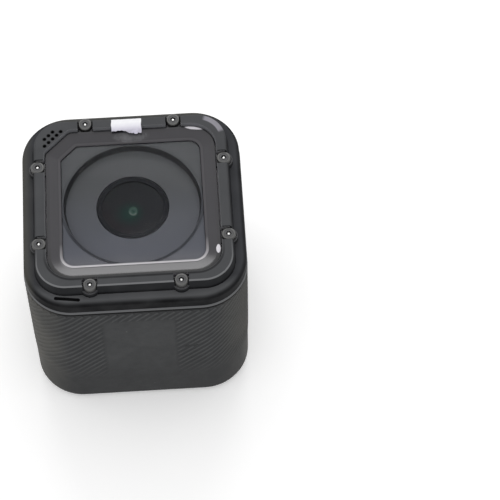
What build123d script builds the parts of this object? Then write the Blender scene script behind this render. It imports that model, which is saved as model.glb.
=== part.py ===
from build123d import *

import os
from math import atan, degrees, sqrt

# Cube camera with a square lens cover, a press-down shutter and a sealed side door.
#
# Every piece is drawn looking into the lens: x to the right, y up and z out of the front,
# with z = 0 at the back face and x = y = 0 on the lens axis. The last lines stand the camera
# on its base: front towards -Y, shutter towards +Z, origin at the middle of the base.

# ---- body --------------------------------------------------------------------------------
body_side = 38.0  # square section, across the flats
body_depth = 36.4  # back face to the top of the front frame
corner_radius = 8.3
sleeve_wall = 1.0
sleeve_back = 1.2  # thickness of the sleeve's lip on the back
front_height = 5.8  # frame top to the front edge of the rubber sleeve
sleeve_back_round = 1.8
sleeve_front_chamfer = 0.2
sleeve_lip = 3.1  # width of the lip that frames the rear plate
housing_wall = 1.5
back_wall = 1.8
plate_sunk = 0.3  # rear plate below the lip
plate_gap = 0.1

# ---- front housing -----------------------------------------------------------------------
seam = 0.3  # gasket thickness, seen as the groove behind the front housing
seam_inset = 0.5
flange_height = 0.7
flange_chamfer = 0.2
skirt_inset = 0.15
skirt_wall = 1.65
shoulder_radius = 0.9
frame_rise = 2.2  # ledge to the top of the frame
frame_inset = 2.45  # top of the frame, from the side of the body
frame_draft = 0.45
frame_corner = 5.0
frame_chamfer = 0.2
spigot_wall = 1.2
spigot_length = 2.0
spigot_gap = 0.05

# ---- lens cover --------------------------------------------------------------------------
frame_width = 1.7  # top of the frame, outer edge to opening
opening_corner = 4.5
opening_cut = 4.3  # clipped corner beside the microphone
cover_gap = 0.2
cover_seat_depth = 1.8  # seat below the top of the frame
seat_thickness = 2.2
seat_width = 1.45
seal_inset = 0.85
seal_width = 0.5
seal_height = 0.4
cover_sunk = 0.6  # outer edge of the cover below the top of the frame
cover_dish = 0.5  # fall of the cover towards the glass
cover_width = 2.65  # bevel between the cover's edge and the glass
glass_corner = 2.0
glass_cut = 2.7
glass_gap = 0.05
glass_thickness = 0.4

# ---- cover screws ------------------------------------------------------------------------
screw_beside = 1.19  # row of screws outside the opening
screw_offset = 7.65
pocket_radius = 1.33
pocket_lip = 0.2
ear_gap = 0.08
ear_thickness = 0.6
cover_head_radius = 1.18
cover_head_height = 0.85
cover_shank_radius = 0.6
cover_screw_length = 2.2
cover_head_chamfer = 0.15
cover_socket_radius, cover_socket_depth = 0.46, 0.45
shank_gap = 0.08

# ---- lens plate: the dished plate behind the glass ---------------------------------------
plate_flange_width = 1.25
plate_flange = 0.7
recess_margin = 0.2  # dish to the edge of the glass
recess_draft = 0.35
recess_depth = 1.25
recess_floor = 0.8
recess_wall = 0.9

# ---- lens --------------------------------------------------------------------------------
nose_radius = 6.1
nose_gap = 0.15
nose_sunk = 0.05
barrel_head_radius = 7.4
barrel_head_length = 5.4
barrel_radius = 5.9
barrel_back_gap = 0.2  # barrel above the base of its mount
front_element_radius = 5.7
front_element_view = 5.3
front_element_rim = 0.65  # rim below the nose
front_element_thickness = 1.45
front_element_curve = 20.0
front_element_hollow = 7.7
middle_radius = 4.4
middle_thickness = 2.2
rear_radius = 3.6
rear_thickness = 3.0
front_air, middle_air, rear_air = 0.15, 0.15, 0.35  # how the air between them is shared
inner_curve = 12.0
stop_radius = 1.0
stop_thickness = 0.2
mount_gap = 0.05
mount_tube_radius = 7.4
mount_tube_gap = 0.9  # mount's tube to the head of the barrel
mount_side = 19.0
mount_corner = 1.5
mount_thickness = 2.5
mount_hollow_side = 14.0
mount_hollow_depth = 1.8
mount_screw_spacing = 16.0
filter_side, filter_thickness = 9.0, 0.5
sensor_x, sensor_y, sensor_z = 11.0, 9.5, 1.0

# ---- boards, heat spreader and battery ---------------------------------------------------
battery_x_room = 5.4  # cavity left beside the cell, both ends together
battery_y_room = 10.2
battery_gap = 0.2
battery_round = 1.5
battery_shift = -1.6  # towards the side away from the ports
battery_pad = 0.3
battery_pad_margin = 2.0
post_inset = 3.1  # posts from the cavity's walls
post_radius = 1.5
thread_radius = 0.65
board_gap = 0.8  # board to the cavity's walls
board_corner = 5.2
board_thickness = 1.0
board_back = 11.8  # height of the main board on its posts
spacer_height = 3.2
spreader_gap = 1.6
spreader_corner = 2.6
spreader_thickness = 1.0
fins = 7
fin_pitch = 2.0
fin_depth = 0.4
thermal_pad = 0.3
thermal_pad_side = 12.0
sensor_board_side = 21.0
sensor_board_corner = 1.5
sensor_board_thickness = 0.8
stack_head_radius, stack_head_height = 1.2, 0.8
stack_screw_length = 8.5
shield_x, shield_y, shield_z = 14.0, 13.0, 1.6
shield_middle = (-6.5, 3.0)
memory_x, memory_y, memory_z = 7.0, 5.6, 1.0
memory_middle = (-8.5, -7.0)
flex_width, flex_thickness = 8.0, 0.2
flex_reach = 2.1  # sensor board's edge to the bend
flex_overlap = 0.7
plug_x, plug_y, plug_z = 4.0, 2.4, 1.6
plug_beside = 3.9  # plug to the post beside it
plug_inset = 3.5  # from the cavity's lower wall
wire_width, wire_thickness, wire_pitch = 1.0, 0.5, 1.6

# ---- side door ---------------------------------------------------------------------------
door_length = 20.0  # along the lens axis
door_middle = 13.0
door_corner = 2.5
door_thickness = 1.9
door_gap = 0.25
door_seat_gap = 0.1
hinge_radius = 1.15
hinge_gap = 0.15
hinge_edge_gap = 0.35
bay_wall = 1.2
bay_margin = 1.0
throat_length = 10.0
throat_margin = 0.4  # throat past the ends of the card socket
throat_rise, throat_drop = 1.6, 1.2  # inside the hinge and the door's top edge
throat_corner = 2.0
seal_gap = 0.3
door_seal_depth = 1.3
door_seal_wall = 1.2
pin_radius = 0.45
pin_gap = 0.05
pin_length = 18.0
knuckle_length = 2.5
knuckle_spread = 12.0
knuckle_gap = 0.15
latch_width, latch_height = 6.0, 2.2
latch_face = 0.75
latch_sunk = 0.05
latch_travel = 1.0
latch_gap = 0.12
latch_drop = 3.8  # top of the door to the foot of the thumb piece
latch_ribs = 3
latch_rib_pitch = 0.6
latch_rib_depth = 0.2
bolt_width = 3.0
bolt_thickness = 0.5
bolt_floor = 0.25  # door left under the bolt
bolt_sunk = 0.1

# ---- ports -------------------------------------------------------------------------------
port_height = -0.4  # middle of the sockets, from the lens axis
usb_width, usb_height, usb_depth = 7.6, 2.7, 5.6
usb_sheet = 0.3
usb_taper = 0.7
usb_tongue = 0.6
card_width, card_height, card_depth = 12.4, 1.5, 14.0
card_slot_width, card_slot_height = 11.2, 0.8
port_plate_thickness = 0.8
port_plate_margin = 1.0
port_gap = 0.15
port_sunk = 0.2

# ---- top: shutter and display ------------------------------------------------------------
shutter_x, shutter_z = 15.0, 11.0
shutter_setback = 9.3  # its middle, behind the front edge of the sleeve
shutter_corner = 4.0
shutter_proud = 0.6
shutter_thickness = 2.1
shutter_round = 0.5
shutter_travel = 0.5
shutter_gap = 0.2
stop_gap = 0.05  # left under a button that is pressed right down
stem_radius = 2.0
stem_gap = 0.05
well_floor = 1.05
well_wall = 1.0
ring_radius, ring_width, ring_depth = 3.4, 0.5, 0.25
packing_radius, packing_height = 2.9, 0.5
switch_x, switch_y, switch_z = 4.5, 1.4, 4.5  # y is the height of the body
plunger_radius, plunger_height = 1.0, 0.2
switch_board_x, switch_board_y, switch_board_z = 13.0, 0.8, 6.0
switch_board_gap = 0.4
switch_post_spacing = 10.4
switch_post_radius = 1.0
display_x = 17.0
display_back = 4.9
display_bridge = 1.5  # sleeve between the display and the shutter
display_border = 1.0
display_corner = 1.5
display_gap = 0.1
display_sunk = 0.3
display_floor = 0.5
display_gasket = 0.2
panel_x, panel_y = 19.0, 1.4
panel_margin = 0.1
panel_gap = 0.2

# ---- back: info button, microphone and light ---------------------------------------------
info_inset = 5.8  # top of the body to the button's middle
info_radius = 2.0
info_gap = 0.15
info_proud = 0.15
info_thickness = 1.4
info_travel = 0.35
info_stem_radius = 1.0
info_board_x, info_board_y, info_board_z = 9.0, 3.2, 0.6
info_post_reach = 3.4
info_post_radius = 0.8
info_switch_side, info_switch_height = 2.6, 1.0
rear_hole_inset = 6.3  # from the edge of the lip
rear_hole_radius = 0.3
rear_hole_pitch = 1.0
rear_light_radius = 0.5
capsule_x, capsule_y, capsule_z = 3.6, 2.4, 1.2

# ---- front microphone and status light ---------------------------------------------------
mic_hole_radius = 0.3
mic_pitch = 1.0
mic_inset_x, mic_inset_y = 2.55, 2.75  # outer row's middle, from the frame's edges
mic_skin = 1.8
mic_pocket_length, mic_pocket_width = 5.6, 1.9
mic_height = 1.2
mic_gap = 0.1
light_length = 4.4
light_beside = 5.2  # from the side of the body to the slot
light_inset = 1.25
light_width = 0.6
light_turn = -8.0  # the slot follows the start of the corner
light_sunk = 0.25
led_x, led_y, led_z = 2.2, 0.9, 0.5

# ---- sound, aerial and seal tape ---------------------------------------------------------
buzzer_x, buzzer_y = 12.0, 3.0
buzzer_front_gap = 2.9  # to the front housing's spigot
aerial_y, aerial_thickness = 16.0, 0.4
aerial_front_gap = 1.9
side_part_gap = 2.0  # buzzer and aerial in front of the heat spreader
tape_left, tape_right = -3.1, 2.1
tape_thickness = 0.1
tape_overlap = 0.65  # tape past the edge of the opening
tape_tail_from, tape_tail_to = -0.8, 2.1
tape_tail = 0.8

# ---- sizes that follow -------------------------------------------------------------------
half = body_side / 2
sleeve_front = body_depth - front_height
housing_half = half - sleeve_wall
cavity_half = housing_half - housing_wall
housing_corner = corner_radius - sleeve_wall
cavity_corner = housing_corner - housing_wall
cavity_back = sleeve_back + back_wall
front_base = sleeve_front + seam
spigot_back = front_base - spigot_length
ledge = body_depth - frame_rise
skirt_half = half - skirt_inset
hollow_half = skirt_half - skirt_wall
hollow_corner = corner_radius - skirt_inset - skirt_wall
frame_side = body_side - 2 * frame_inset
opening_side = frame_side - 2 * frame_width
seat_side = opening_side - 2 * seat_width
seal_side = opening_side - 2 * seal_inset
cover_seat = body_depth - cover_seat_depth
hollow_front = cover_seat - seat_thickness
cover_side = opening_side - 2 * cover_gap
cover_edge = body_depth - cover_sunk
glass_side = cover_side - 2 * cover_width
glass_front = cover_edge - cover_dish
glass_back = glass_front - glass_thickness
screw_reach = opening_side / 2 + screw_beside
ear_top = cover_seat + ear_thickness
plate_side = glass_side + 2 * plate_flange_width
recess_radius = glass_side / 2 - recess_margin
floor_front = glass_back - recess_depth
floor_back = floor_front - recess_floor
nose_front = floor_front - nose_sunk
barrel_shoulder = floor_back - nose_gap
barrel_head_back = barrel_shoulder - barrel_head_length
mount_tube_front = barrel_head_back - mount_tube_gap
element_rim = nose_front - front_element_rim
element_back = element_rim - front_element_thickness
board_front = board_back + board_thickness
spreader_back = board_front + spacer_height
spreader_front = spreader_back + spreader_thickness
sensor_board_back = spreader_front + thermal_pad
sensor_board_front = sensor_board_back + sensor_board_thickness
mount_front = sensor_board_front + mount_thickness
mount_hollow_front = sensor_board_front + mount_hollow_depth
barrel_back = mount_front + barrel_back_gap
lens_air = element_back - barrel_back - middle_thickness - stop_thickness - rear_thickness
middle_front = element_back - front_air * lens_air
middle_back = middle_front - middle_thickness
stop_plane = middle_back - middle_air * lens_air - stop_thickness
rear_front = stop_plane - rear_air * lens_air
rear_back = rear_front - rear_thickness
post_spacing = 2 * (cavity_half - post_inset)
board_side = 2 * (cavity_half - board_gap)
spreader_side = 2 * (cavity_half - spreader_gap)
battery_back = cavity_back + battery_pad
battery_front = board_back - card_height - battery_gap
battery_x = 2 * cavity_half - battery_x_room
battery_y = 2 * cavity_half - battery_y_room
plug_across = -post_spacing / 2 + plug_beside
plug_height = -cavity_half + plug_inset
side_part_back = spreader_front + side_part_gap
bay_floor = half - door_thickness - door_seat_gap
bay_back = bay_floor - bay_wall
port_plate_back = bay_back - port_plate_thickness
port_face = bay_back - port_sunk
pin_x = half - hinge_radius
throat_low = port_height - card_width / 2 - throat_margin
throat_high = port_height + card_width / 2 + throat_margin
hinge_height = throat_low - throat_rise
door_top = throat_high + throat_drop
door_low = door_middle - door_length / 2
door_high = door_middle + door_length / 2
latch_rest = door_top - latch_drop
shutter_middle = sleeve_front - shutter_setback
display_front = shutter_middle - shutter_z / 2 - display_bridge
display_z = display_front - display_back
display_middle = (display_front + display_back) / 2
panel_z = display_z + 2 * panel_margin
shutter_bottom = half + shutter_proud - shutter_thickness
well_bottom = shutter_bottom - shutter_travel - stop_gap
well_underside = well_bottom - well_floor
stem_end = well_underside - shutter_travel
plunger_top = stem_end - shutter_travel - stop_gap
switch_board_top = plunger_top - plunger_height - switch_y
display_seat = cavity_half + display_floor
info_height = half - info_inset
rear_hole_offset = half - sleeve_lip - rear_hole_inset
info_cap_back = plate_sunk - info_proud + info_thickness
info_well = info_cap_back + info_travel + stop_gap
info_board_back = cavity_back + info_travel + stop_gap + info_switch_height
mic_x = -frame_side / 2 + mic_inset_x
mic_y = frame_side / 2 - mic_inset_y
light_from = -half + light_beside
light_to = light_from + light_length
tape_end = opening_side / 2 - tape_overlap


# ---- helpers -----------------------------------------------------------------------------
def prism(outline, low, high):
    """An outline drawn on the lens plane, run from z = low to z = high."""
    return Pos(0, 0, low) * extrude(outline, high - low)


def block(x, y, z):
    """A box given by its (low, high) limits along each axis."""
    size = [high - low for low, high in (x, y, z)]
    middle = [(high + low) / 2 for low, high in (x, y, z)]
    return Pos(*middle) * Box(*size)


def about(middle, width):
    """The limits of a width about its middle."""
    return middle - width / 2, middle + width / 2


def disc(radius, low, high, x=0.0, y=0.0):
    return Pos(x, y, low) * extrude(Circle(radius), high - low)


def ring(outer, inner, low, high, x=0.0, y=0.0):
    return disc(outer, low, high, x, y) - disc(inner, low, high, x, y)


def square_ring(side, inner_side, corner, low, high):
    """A square ring with rounded corners and an even wall."""
    wall = (side - inner_side) / 2
    inner = RectangleRounded(inner_side, inner_side, max(corner - wall, wall / 2))
    return prism(RectangleRounded(side, side, corner) - inner, low, high)


def from_side(outline, low, high):
    """An outline drawn as (distance along the lens axis, height), from x = low to high."""
    face = Plane(origin=(high, 0, 0), x_dir=(0, 0, 1), z_dir=(-1, 0, 0))
    return face.location * extrude(outline, high - low)


def from_top(outline, low, high):
    """An outline drawn as (x, distance along the lens axis), from y = low to high."""
    face = Plane(origin=(0, high, 0), x_dir=(1, 0, 0), z_dir=(0, -1, 0))
    return face.location * extrude(outline, high - low)


def corners(spacing):
    reach = spacing / 2
    return [(sx * reach, sy * reach) for sx in (-1, 1) for sy in (-1, 1)]


def at(spots, piece):
    """One copy of the piece at each (x, y)."""
    return [Pos(x, y, 0) * piece for x, y in spots]


def clipped_square(side, corner, cut):
    """A rounded square whose upper left corner is cut off at 45 degrees."""
    h = side / 2
    outline = Polygon((-h, -h), (h, -h), (h, h), (-h + cut, h), (-h, h - cut), align=None)
    square = [v for v in outline.vertices() if v.X > 0 or v.Y < 0]
    outline = fillet(square, corner)
    clip = [v for v in outline.vertices() if abs(v.Y - v.X - (side - cut)) < cut / 100]
    return fillet(clip, corner / 4)


def drafted(outline, low, high, draft):
    """A prism that narrows by the draft on every side."""
    slope = degrees(atan(draft / (high - low)))
    return Pos(0, 0, low) * extrude(outline, high - low, taper=slope)


def end_edges(piece, axis, end):
    """The outline edges of the face at one end of the piece."""
    return piece.faces().sort_by(axis)[end].outer_wire().edges()


def at_cover_screws(piece):
    """Eight copies of a piece that is drawn on a screw's axis, with the glass towards -y."""
    return [
        Rot(0, 0, 90 * turn) * Pos(side * screw_offset, screw_reach, 0) * piece
        for turn in range(4)
        for side in (-1, 1)
    ]


def plain_screw(head_radius, head_height, shank_radius, seat, length):
    """A screw along -z whose head stands on z = seat."""
    return disc(head_radius, seat, seat + head_height) + disc(shank_radius, seat - length, seat)


def lens_element(radius, back, front, back_curve, front_curve):
    """Glass whose faces bulge out to a sphere of the given curve, or stay flat at 0."""
    glass = disc(radius, back, front)
    for apex, curve, way in ((front, front_curve, 1), (back, back_curve, -1)):
        if curve:
            glass &= Pos(0, 0, apex - way * curve) * Sphere(curve)
    return glass


def strap(points, width, thickness, x):
    """A flat cable through (y, z) points, one straight run after another."""
    t = thickness / 2
    runs = [
        block(about(x, width), (min(a[0], b[0]) - t, max(a[0], b[0]) + t),
              (min(a[1], b[1]) - t, max(a[1], b[1]) + t))
        for a, b in zip(points, points[1:])
    ]
    return sum(runs[1:], runs[0])


# ---- outer shell -------------------------------------------------------------------------
def door_outline(gap):
    """The side door seen square on, grown by the gap; its foot is the hinge's round edge."""
    low = hinge_height - hinge_radius
    foot = hinge_edge_gap if gap else 0
    length, height = door_length + 2 * gap, door_top + gap - low + foot
    middle = (door_top + gap + low - foot) / 2
    panel = Pos(door_middle, middle) * Rectangle(length, height)
    return fillet(panel.vertices().sort_by(Axis.Y)[-2:], door_corner + gap)


def shutter_outline(gap):
    return Pos(0, shutter_middle) * RectangleRounded(
        shutter_x + 2 * gap, shutter_z + 2 * gap, shutter_corner + gap
    )


def display_outline(grow):
    return Pos(0, display_middle) * RectangleRounded(
        display_x + 2 * grow, display_z + 2 * grow, display_corner + grow
    )


def make_rubber_sleeve():
    sleeve = prism(RectangleRounded(body_side, body_side, corner_radius), 0, sleeve_front)
    sleeve = fillet(end_edges(sleeve, Axis.Z, 0), sleeve_back_round)
    sleeve = chamfer(end_edges(sleeve, Axis.Z, -1), sleeve_front_chamfer)
    inside = RectangleRounded(2 * housing_half, 2 * housing_half, housing_corner)
    sleeve -= prism(inside, sleeve_back, sleeve_front)
    lip = body_side - 2 * sleeve_lip
    sleeve -= prism(RectangleRounded(lip, lip, corner_radius - sleeve_lip), 0, sleeve_back)
    sleeve -= from_side(door_outline(door_gap), housing_half, half)
    sleeve -= from_top(shutter_outline(shutter_gap), housing_half, half)
    sleeve -= from_top(display_outline(display_gap), housing_half, half)
    return sleeve


def rear_hole_spots():
    return [(-rear_hole_offset + step * rear_hole_pitch, info_height) for step in (-1, 0, 1)]


def make_rear_plate():
    side = body_side - 2 * sleeve_lip - 2 * plate_gap
    plate = prism(
        RectangleRounded(side, side, corner_radius - sleeve_lip - plate_gap), plate_sunk, sleeve_back
    )
    plate -= disc(info_radius + info_gap, plate_sunk, sleeve_back, 0, info_height)
    plate -= at(rear_hole_spots(), disc(rear_hole_radius, plate_sunk, sleeve_back))
    plate -= disc(rear_light_radius, plate_sunk, sleeve_back, rear_hole_offset, info_height)
    return plate


def make_housing():
    outer = RectangleRounded(2 * housing_half, 2 * housing_half, housing_corner)
    inner = RectangleRounded(2 * cavity_half, 2 * cavity_half, cavity_corner)
    shell = prism(outer, sleeve_back, sleeve_front) - prism(inner, cavity_back, sleeve_front)
    shell += at(corners(post_spacing), disc(post_radius, cavity_back, board_back))
    shell -= at(corners(post_spacing),
                disc(thread_radius, spreader_front - stack_screw_length, board_back))
    return cut_back_details(cut_top_openings(cut_side_bay(shell)))


def cut_side_bay(shell):
    """The recess that the door closes, the throat to the ports and the hinge lugs."""
    wall_low = hinge_height - hinge_radius - hinge_edge_gap - bay_margin
    shell += block(
        (bay_back, cavity_half),
        (wall_low, door_top + door_gap + bay_margin),
        (max(door_low - door_gap - bay_margin, cavity_back), door_high + door_gap + bay_margin),
    )
    shell -= from_side(door_outline(door_gap), bay_floor, housing_half)
    groove = (door_low - door_gap, door_high + door_gap)
    shell -= disc(hinge_radius + hinge_gap, *groove, pin_x, hinge_height)
    throat = Pos(door_middle, (throat_low + throat_high) / 2) * RectangleRounded(
        throat_length, throat_high - throat_low, throat_corner
    )
    shell -= from_side(throat, bay_back, bay_floor)
    for middle in knuckle_middles():
        limits = about(middle, knuckle_length)
        lug = disc(hinge_radius, *limits, pin_x, hinge_height)
        lug += block((bay_back, pin_x), about(hinge_height, 2 * hinge_radius), limits)
        shell += lug - disc(pin_radius + pin_gap, *limits, pin_x, hinge_height)
    keeper = (door_top + door_gap, door_top + door_gap + latch_travel - bolt_sunk)
    bolt_back = bay_floor + door_seat_gap + bolt_floor
    shell -= block(
        (bolt_back - latch_gap, bolt_back + bolt_thickness + latch_gap),
        keeper,
        about(door_middle, bolt_width + 4 * latch_gap),
    )
    return shell


def knuckle_middles():
    return [door_middle - knuckle_spread / 2, door_middle + knuckle_spread / 2]


def switch_posts():
    return [(side * switch_post_spacing / 2, shutter_middle) for side in (-1, 1)]


def cut_top_openings(shell):
    shell += from_top(shutter_outline(shutter_gap + well_wall), well_underside, cavity_half)
    shell -= from_top(shutter_outline(shutter_gap), well_bottom, housing_half)
    stem = Pos(0, shutter_middle)
    shell -= from_top(stem * Circle(stem_radius + stem_gap), well_underside, well_bottom)
    shell -= from_top(
        stem * Circle(packing_radius), well_underside, well_underside + packing_height
    )
    for x, z in switch_posts():
        shell += from_top(Pos(x, z) * Circle(switch_post_radius), switch_board_top, cavity_half)
    shell -= from_top(display_outline(display_gap), display_seat, housing_half)
    shell -= from_top(display_outline(-display_border), cavity_half, display_seat)
    return shell


def cut_back_details(shell):
    shell -= disc(info_radius + info_gap, sleeve_back, info_well, 0, info_height)
    shell -= disc(info_stem_radius + stem_gap, info_well, cavity_back, 0, info_height)
    shell -= at(rear_hole_spots(), disc(rear_hole_radius, sleeve_back, cavity_back))
    shell -= disc(rear_light_radius, sleeve_back, cavity_back, rear_hole_offset, info_height)
    for x in (-info_post_reach, info_post_reach):
        shell += disc(info_post_radius, cavity_back, info_board_back, x, info_height)
    return shell


# ---- front housing -----------------------------------------------------------------------
def opening(grow=0.0):
    """The square opening in the front frame, grown by a margin."""
    side = opening_side + 2 * grow
    return clipped_square(side, opening_corner + grow, opening_cut + grow * (2 - sqrt(2)))


def mic_spots():
    """Two rows of microphone holes that run at 45 degrees across the corner."""
    step = mic_pitch / sqrt(2)
    outer = [(mic_x + n * step, mic_y + n * step) for n in (-1, 0, 1)]
    inner = [(mic_x + step + n * step, mic_y - step + n * step) for n in (-2, -1, 0, 1, 2)]
    return outer + inner


def mic_pocket(gap, low, high):
    middle = mic_pitch / sqrt(8)
    outline = Rot(0, 0, 45) * Rectangle(mic_pocket_length - 2 * gap, mic_pocket_width - 2 * gap)
    return prism(Pos(mic_x + middle, mic_y - middle) * outline, low, high)


def light_outline(gap):
    """The status light's slot in the lower shoulder, turned to follow the corner beside it."""
    length, width = light_to - light_from, light_width
    middle = Pos((light_from + light_to) / 2, -skirt_half + light_inset)
    return middle * Rot(0, 0, light_turn) * SlotOverall(length - 2 * gap, width - 2 * gap)


def led_room(gap, low, high):
    x = about((light_from + light_to) / 2, led_x - 2 * gap)
    return block(x, (-skirt_half + light_inset - led_y / 2 + gap, -hollow_half), (low, high))


def make_front_housing():
    flange = prism(
        RectangleRounded(body_side, body_side, corner_radius), front_base, front_base + flange_height
    )
    flange = chamfer(end_edges(flange, Axis.Z, -1) + end_edges(flange, Axis.Z, 0), flange_chamfer)
    skirt = prism(
        RectangleRounded(2 * skirt_half, 2 * skirt_half, corner_radius - skirt_inset), front_base, ledge
    )
    skirt = fillet(end_edges(skirt, Axis.Z, -1), shoulder_radius)
    base_side = frame_side + 2 * frame_draft
    outline = RectangleRounded(base_side, base_side, frame_corner + frame_draft)
    frame = drafted(outline, ledge, body_depth, frame_draft)
    frame = chamfer(end_edges(frame, Axis.Z, -1), frame_chamfer)
    front = flange + skirt + frame + at_cover_screws(
        disc(pocket_radius + pocket_lip, ledge, ear_top)
    )
    front -= prism(RectangleRounded(2 * hollow_half, 2 * hollow_half, hollow_corner),
                   front_base, hollow_front)
    front += make_spigot()
    return cut_front_details(front)


def make_spigot():
    """The ring that plugs into the housing."""
    side = 2 * (cavity_half - spigot_gap)
    corner = cavity_corner - spigot_gap
    inner = side - 2 * spigot_wall
    plug = square_ring(side, inner, corner, spigot_back, front_base + flange_height)
    bridge = square_ring(2 * hollow_half, inner, hollow_corner, front_base, front_base + flange_height)
    return plug + bridge


def cut_front_details(front):
    front -= prism(opening(), cover_seat, body_depth)
    front -= prism(RectangleRounded(seat_side, seat_side, opening_corner), hollow_front, cover_seat)
    front -= square_ring(
        seal_side, seal_side - 2 * seal_width, opening_corner, cover_seat - seal_height, cover_seat
    )
    front -= at_cover_screws(screw_pocket(0, cover_seat, body_depth))
    front -= at_cover_screws(disc(cover_shank_radius, ear_top - cover_screw_length, cover_seat))
    front -= at(mic_spots(), disc(mic_hole_radius, body_depth - mic_skin, body_depth))
    front -= mic_pocket(0, hollow_front, body_depth - mic_skin)
    front -= prism(light_outline(0), hollow_front, ledge)
    front -= led_room(0, front_base + flange_height, hollow_front)
    return front


def screw_pocket(gap, low, high):
    """U-shaped pocket about a cover screw, open towards the glass."""
    radius = pocket_radius - gap
    reach = screw_reach - cover_side / 2 + 2 * cover_gap
    return disc(radius, low, high) + block((-radius, radius), (-reach, 0), (low, high))


def make_housing_gasket():
    side = body_side - 2 * seam_inset
    return square_ring(
        side, 2 * cavity_half, corner_radius - seam_inset, sleeve_front, front_base
    )


# ---- lens cover --------------------------------------------------------------------------
def make_cover_frame():
    """The dished square that carries the glass, with an ear under each screw."""
    rim = opening(-cover_gap)
    frame = prism(rim, cover_seat, cover_edge)
    well = clipped_square(glass_side + 2 * glass_gap, glass_corner, glass_cut)
    dish = loft([Pos(0, 0, cover_edge) * rim, Pos(0, 0, glass_front) * well], ruled=True)
    frame -= dish
    frame += at_cover_screws(screw_pocket(ear_gap, cover_seat, ear_top))
    frame -= prism(well, cover_seat, cover_edge)
    frame -= at_cover_screws(disc(cover_shank_radius + shank_gap, cover_seat, ear_top))
    return frame


def make_cover_seal():
    return square_ring(
        seal_side, seal_side - 2 * seal_width, opening_corner, cover_seat - seal_height, cover_seat
    )


def make_cover_glass():
    return prism(clipped_square(glass_side, glass_corner, glass_cut), glass_back, glass_front)


def make_cover_screws():
    screw = plain_screw(
        cover_head_radius, cover_head_height, cover_shank_radius, ear_top, cover_screw_length
    )
    top = ear_top + cover_head_height
    screw = chamfer(end_edges(screw, Axis.Z, -1), cover_head_chamfer)
    socket = RegularPolygon(cover_socket_radius, 6)
    return at_cover_screws(screw - prism(socket, top - cover_socket_depth, top))


def make_lens_plate():
    """The plate behind the glass, dished to a flat floor round the lens."""
    outline = RectangleRounded(plate_side, plate_side, opening_corner)
    plate = prism(outline, cover_seat - plate_flange, cover_seat)
    plate += prism(clipped_square(glass_side, glass_corner, glass_cut), cover_seat, glass_back)
    plate += disc(recess_radius + recess_wall - recess_draft, floor_back, cover_seat - plate_flange)
    plate -= drafted_hole(recess_radius, floor_front, glass_back, recess_draft)
    return plate - disc(nose_radius + nose_gap, floor_back, floor_front)


def drafted_hole(radius, low, high, draft):
    return Pos(0, 0, (low + high) / 2) * Cone(radius - draft, radius, high - low)


# ---- lens --------------------------------------------------------------------------------
def make_lens_barrel():
    barrel = disc(nose_radius, barrel_shoulder, nose_front)
    barrel += disc(barrel_head_radius, barrel_head_back, barrel_shoulder)
    barrel += disc(barrel_radius, barrel_back, barrel_head_back)
    barrel -= disc(front_element_view, element_rim, nose_front)
    barrel -= disc(front_element_radius, element_back, element_rim)
    barrel -= disc(middle_radius, stop_plane, element_back)
    return barrel - disc(rear_radius, barrel_back, stop_plane)


def make_front_element():
    apex = nose_front
    glass = disc(front_element_radius, element_back, apex)
    glass &= Pos(0, 0, apex - front_element_curve) * Sphere(front_element_curve)
    view = front_element_radius * 0.75
    drop = sqrt(front_element_hollow**2 - view**2)
    return glass - Pos(0, 0, element_back - drop) * Sphere(front_element_hollow)


def make_middle_element():
    return lens_element(middle_radius, middle_back, middle_front, 0, inner_curve)


def make_rear_element():
    return lens_element(rear_radius, rear_back, rear_front, inner_curve, 0)


def make_lens_stop():
    return ring(middle_radius, stop_radius, stop_plane, stop_plane + stop_thickness)


def make_lens_mount():
    base = RectangleRounded(mount_side, mount_side, mount_corner)
    hollow = Rectangle(mount_hollow_side, mount_hollow_side)
    mount = prism(base, sensor_board_front, mount_front)
    mount += disc(mount_tube_radius, mount_hollow_front, mount_tube_front)
    mount -= prism(hollow, sensor_board_front, mount_hollow_front)
    mount -= disc(barrel_radius + mount_gap, barrel_back, mount_tube_front)
    mount -= disc(rear_radius, mount_hollow_front, barrel_back)
    return mount - at(corners(mount_screw_spacing),
                      disc(thread_radius + shank_gap, sensor_board_front, mount_front))


def make_mount_screws():
    screw = plain_screw(cover_head_radius, cover_head_height, thread_radius, mount_front,
                         mount_front - spreader_back)
    return at(corners(mount_screw_spacing), screw)


def make_infrared_filter():
    back = mount_hollow_front - filter_thickness
    return prism(Rectangle(filter_side, filter_side), back, mount_hollow_front)


def make_image_sensor():
    body = prism(Rectangle(sensor_x, sensor_y), sensor_board_front, sensor_board_front + sensor_z)
    window = Rectangle(sensor_x * 0.62, sensor_y * 0.58)
    return body - prism(window, sensor_board_front + sensor_z * 0.8, sensor_board_front + sensor_z)


def make_sensor_board():
    board = prism(
        RectangleRounded(sensor_board_side, sensor_board_side, sensor_board_corner),
        sensor_board_back, sensor_board_front,
    )
    return board - at(corners(mount_screw_spacing),
                      disc(thread_radius, sensor_board_back, sensor_board_front))


# ---- boards, heat spreader and battery ---------------------------------------------------
def make_thermal_pad():
    return prism(Rectangle(thermal_pad_side, thermal_pad_side), spreader_front, sensor_board_back)


def flex_notch(low, high, edge):
    """Room at the lower edge for the sensor's flat cable."""
    y = (-edge, -sensor_board_side / 2 - flex_reach + flex_thickness * 4)
    return block(about(0, flex_width + 4 * flex_thickness), y, (low, high))


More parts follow.
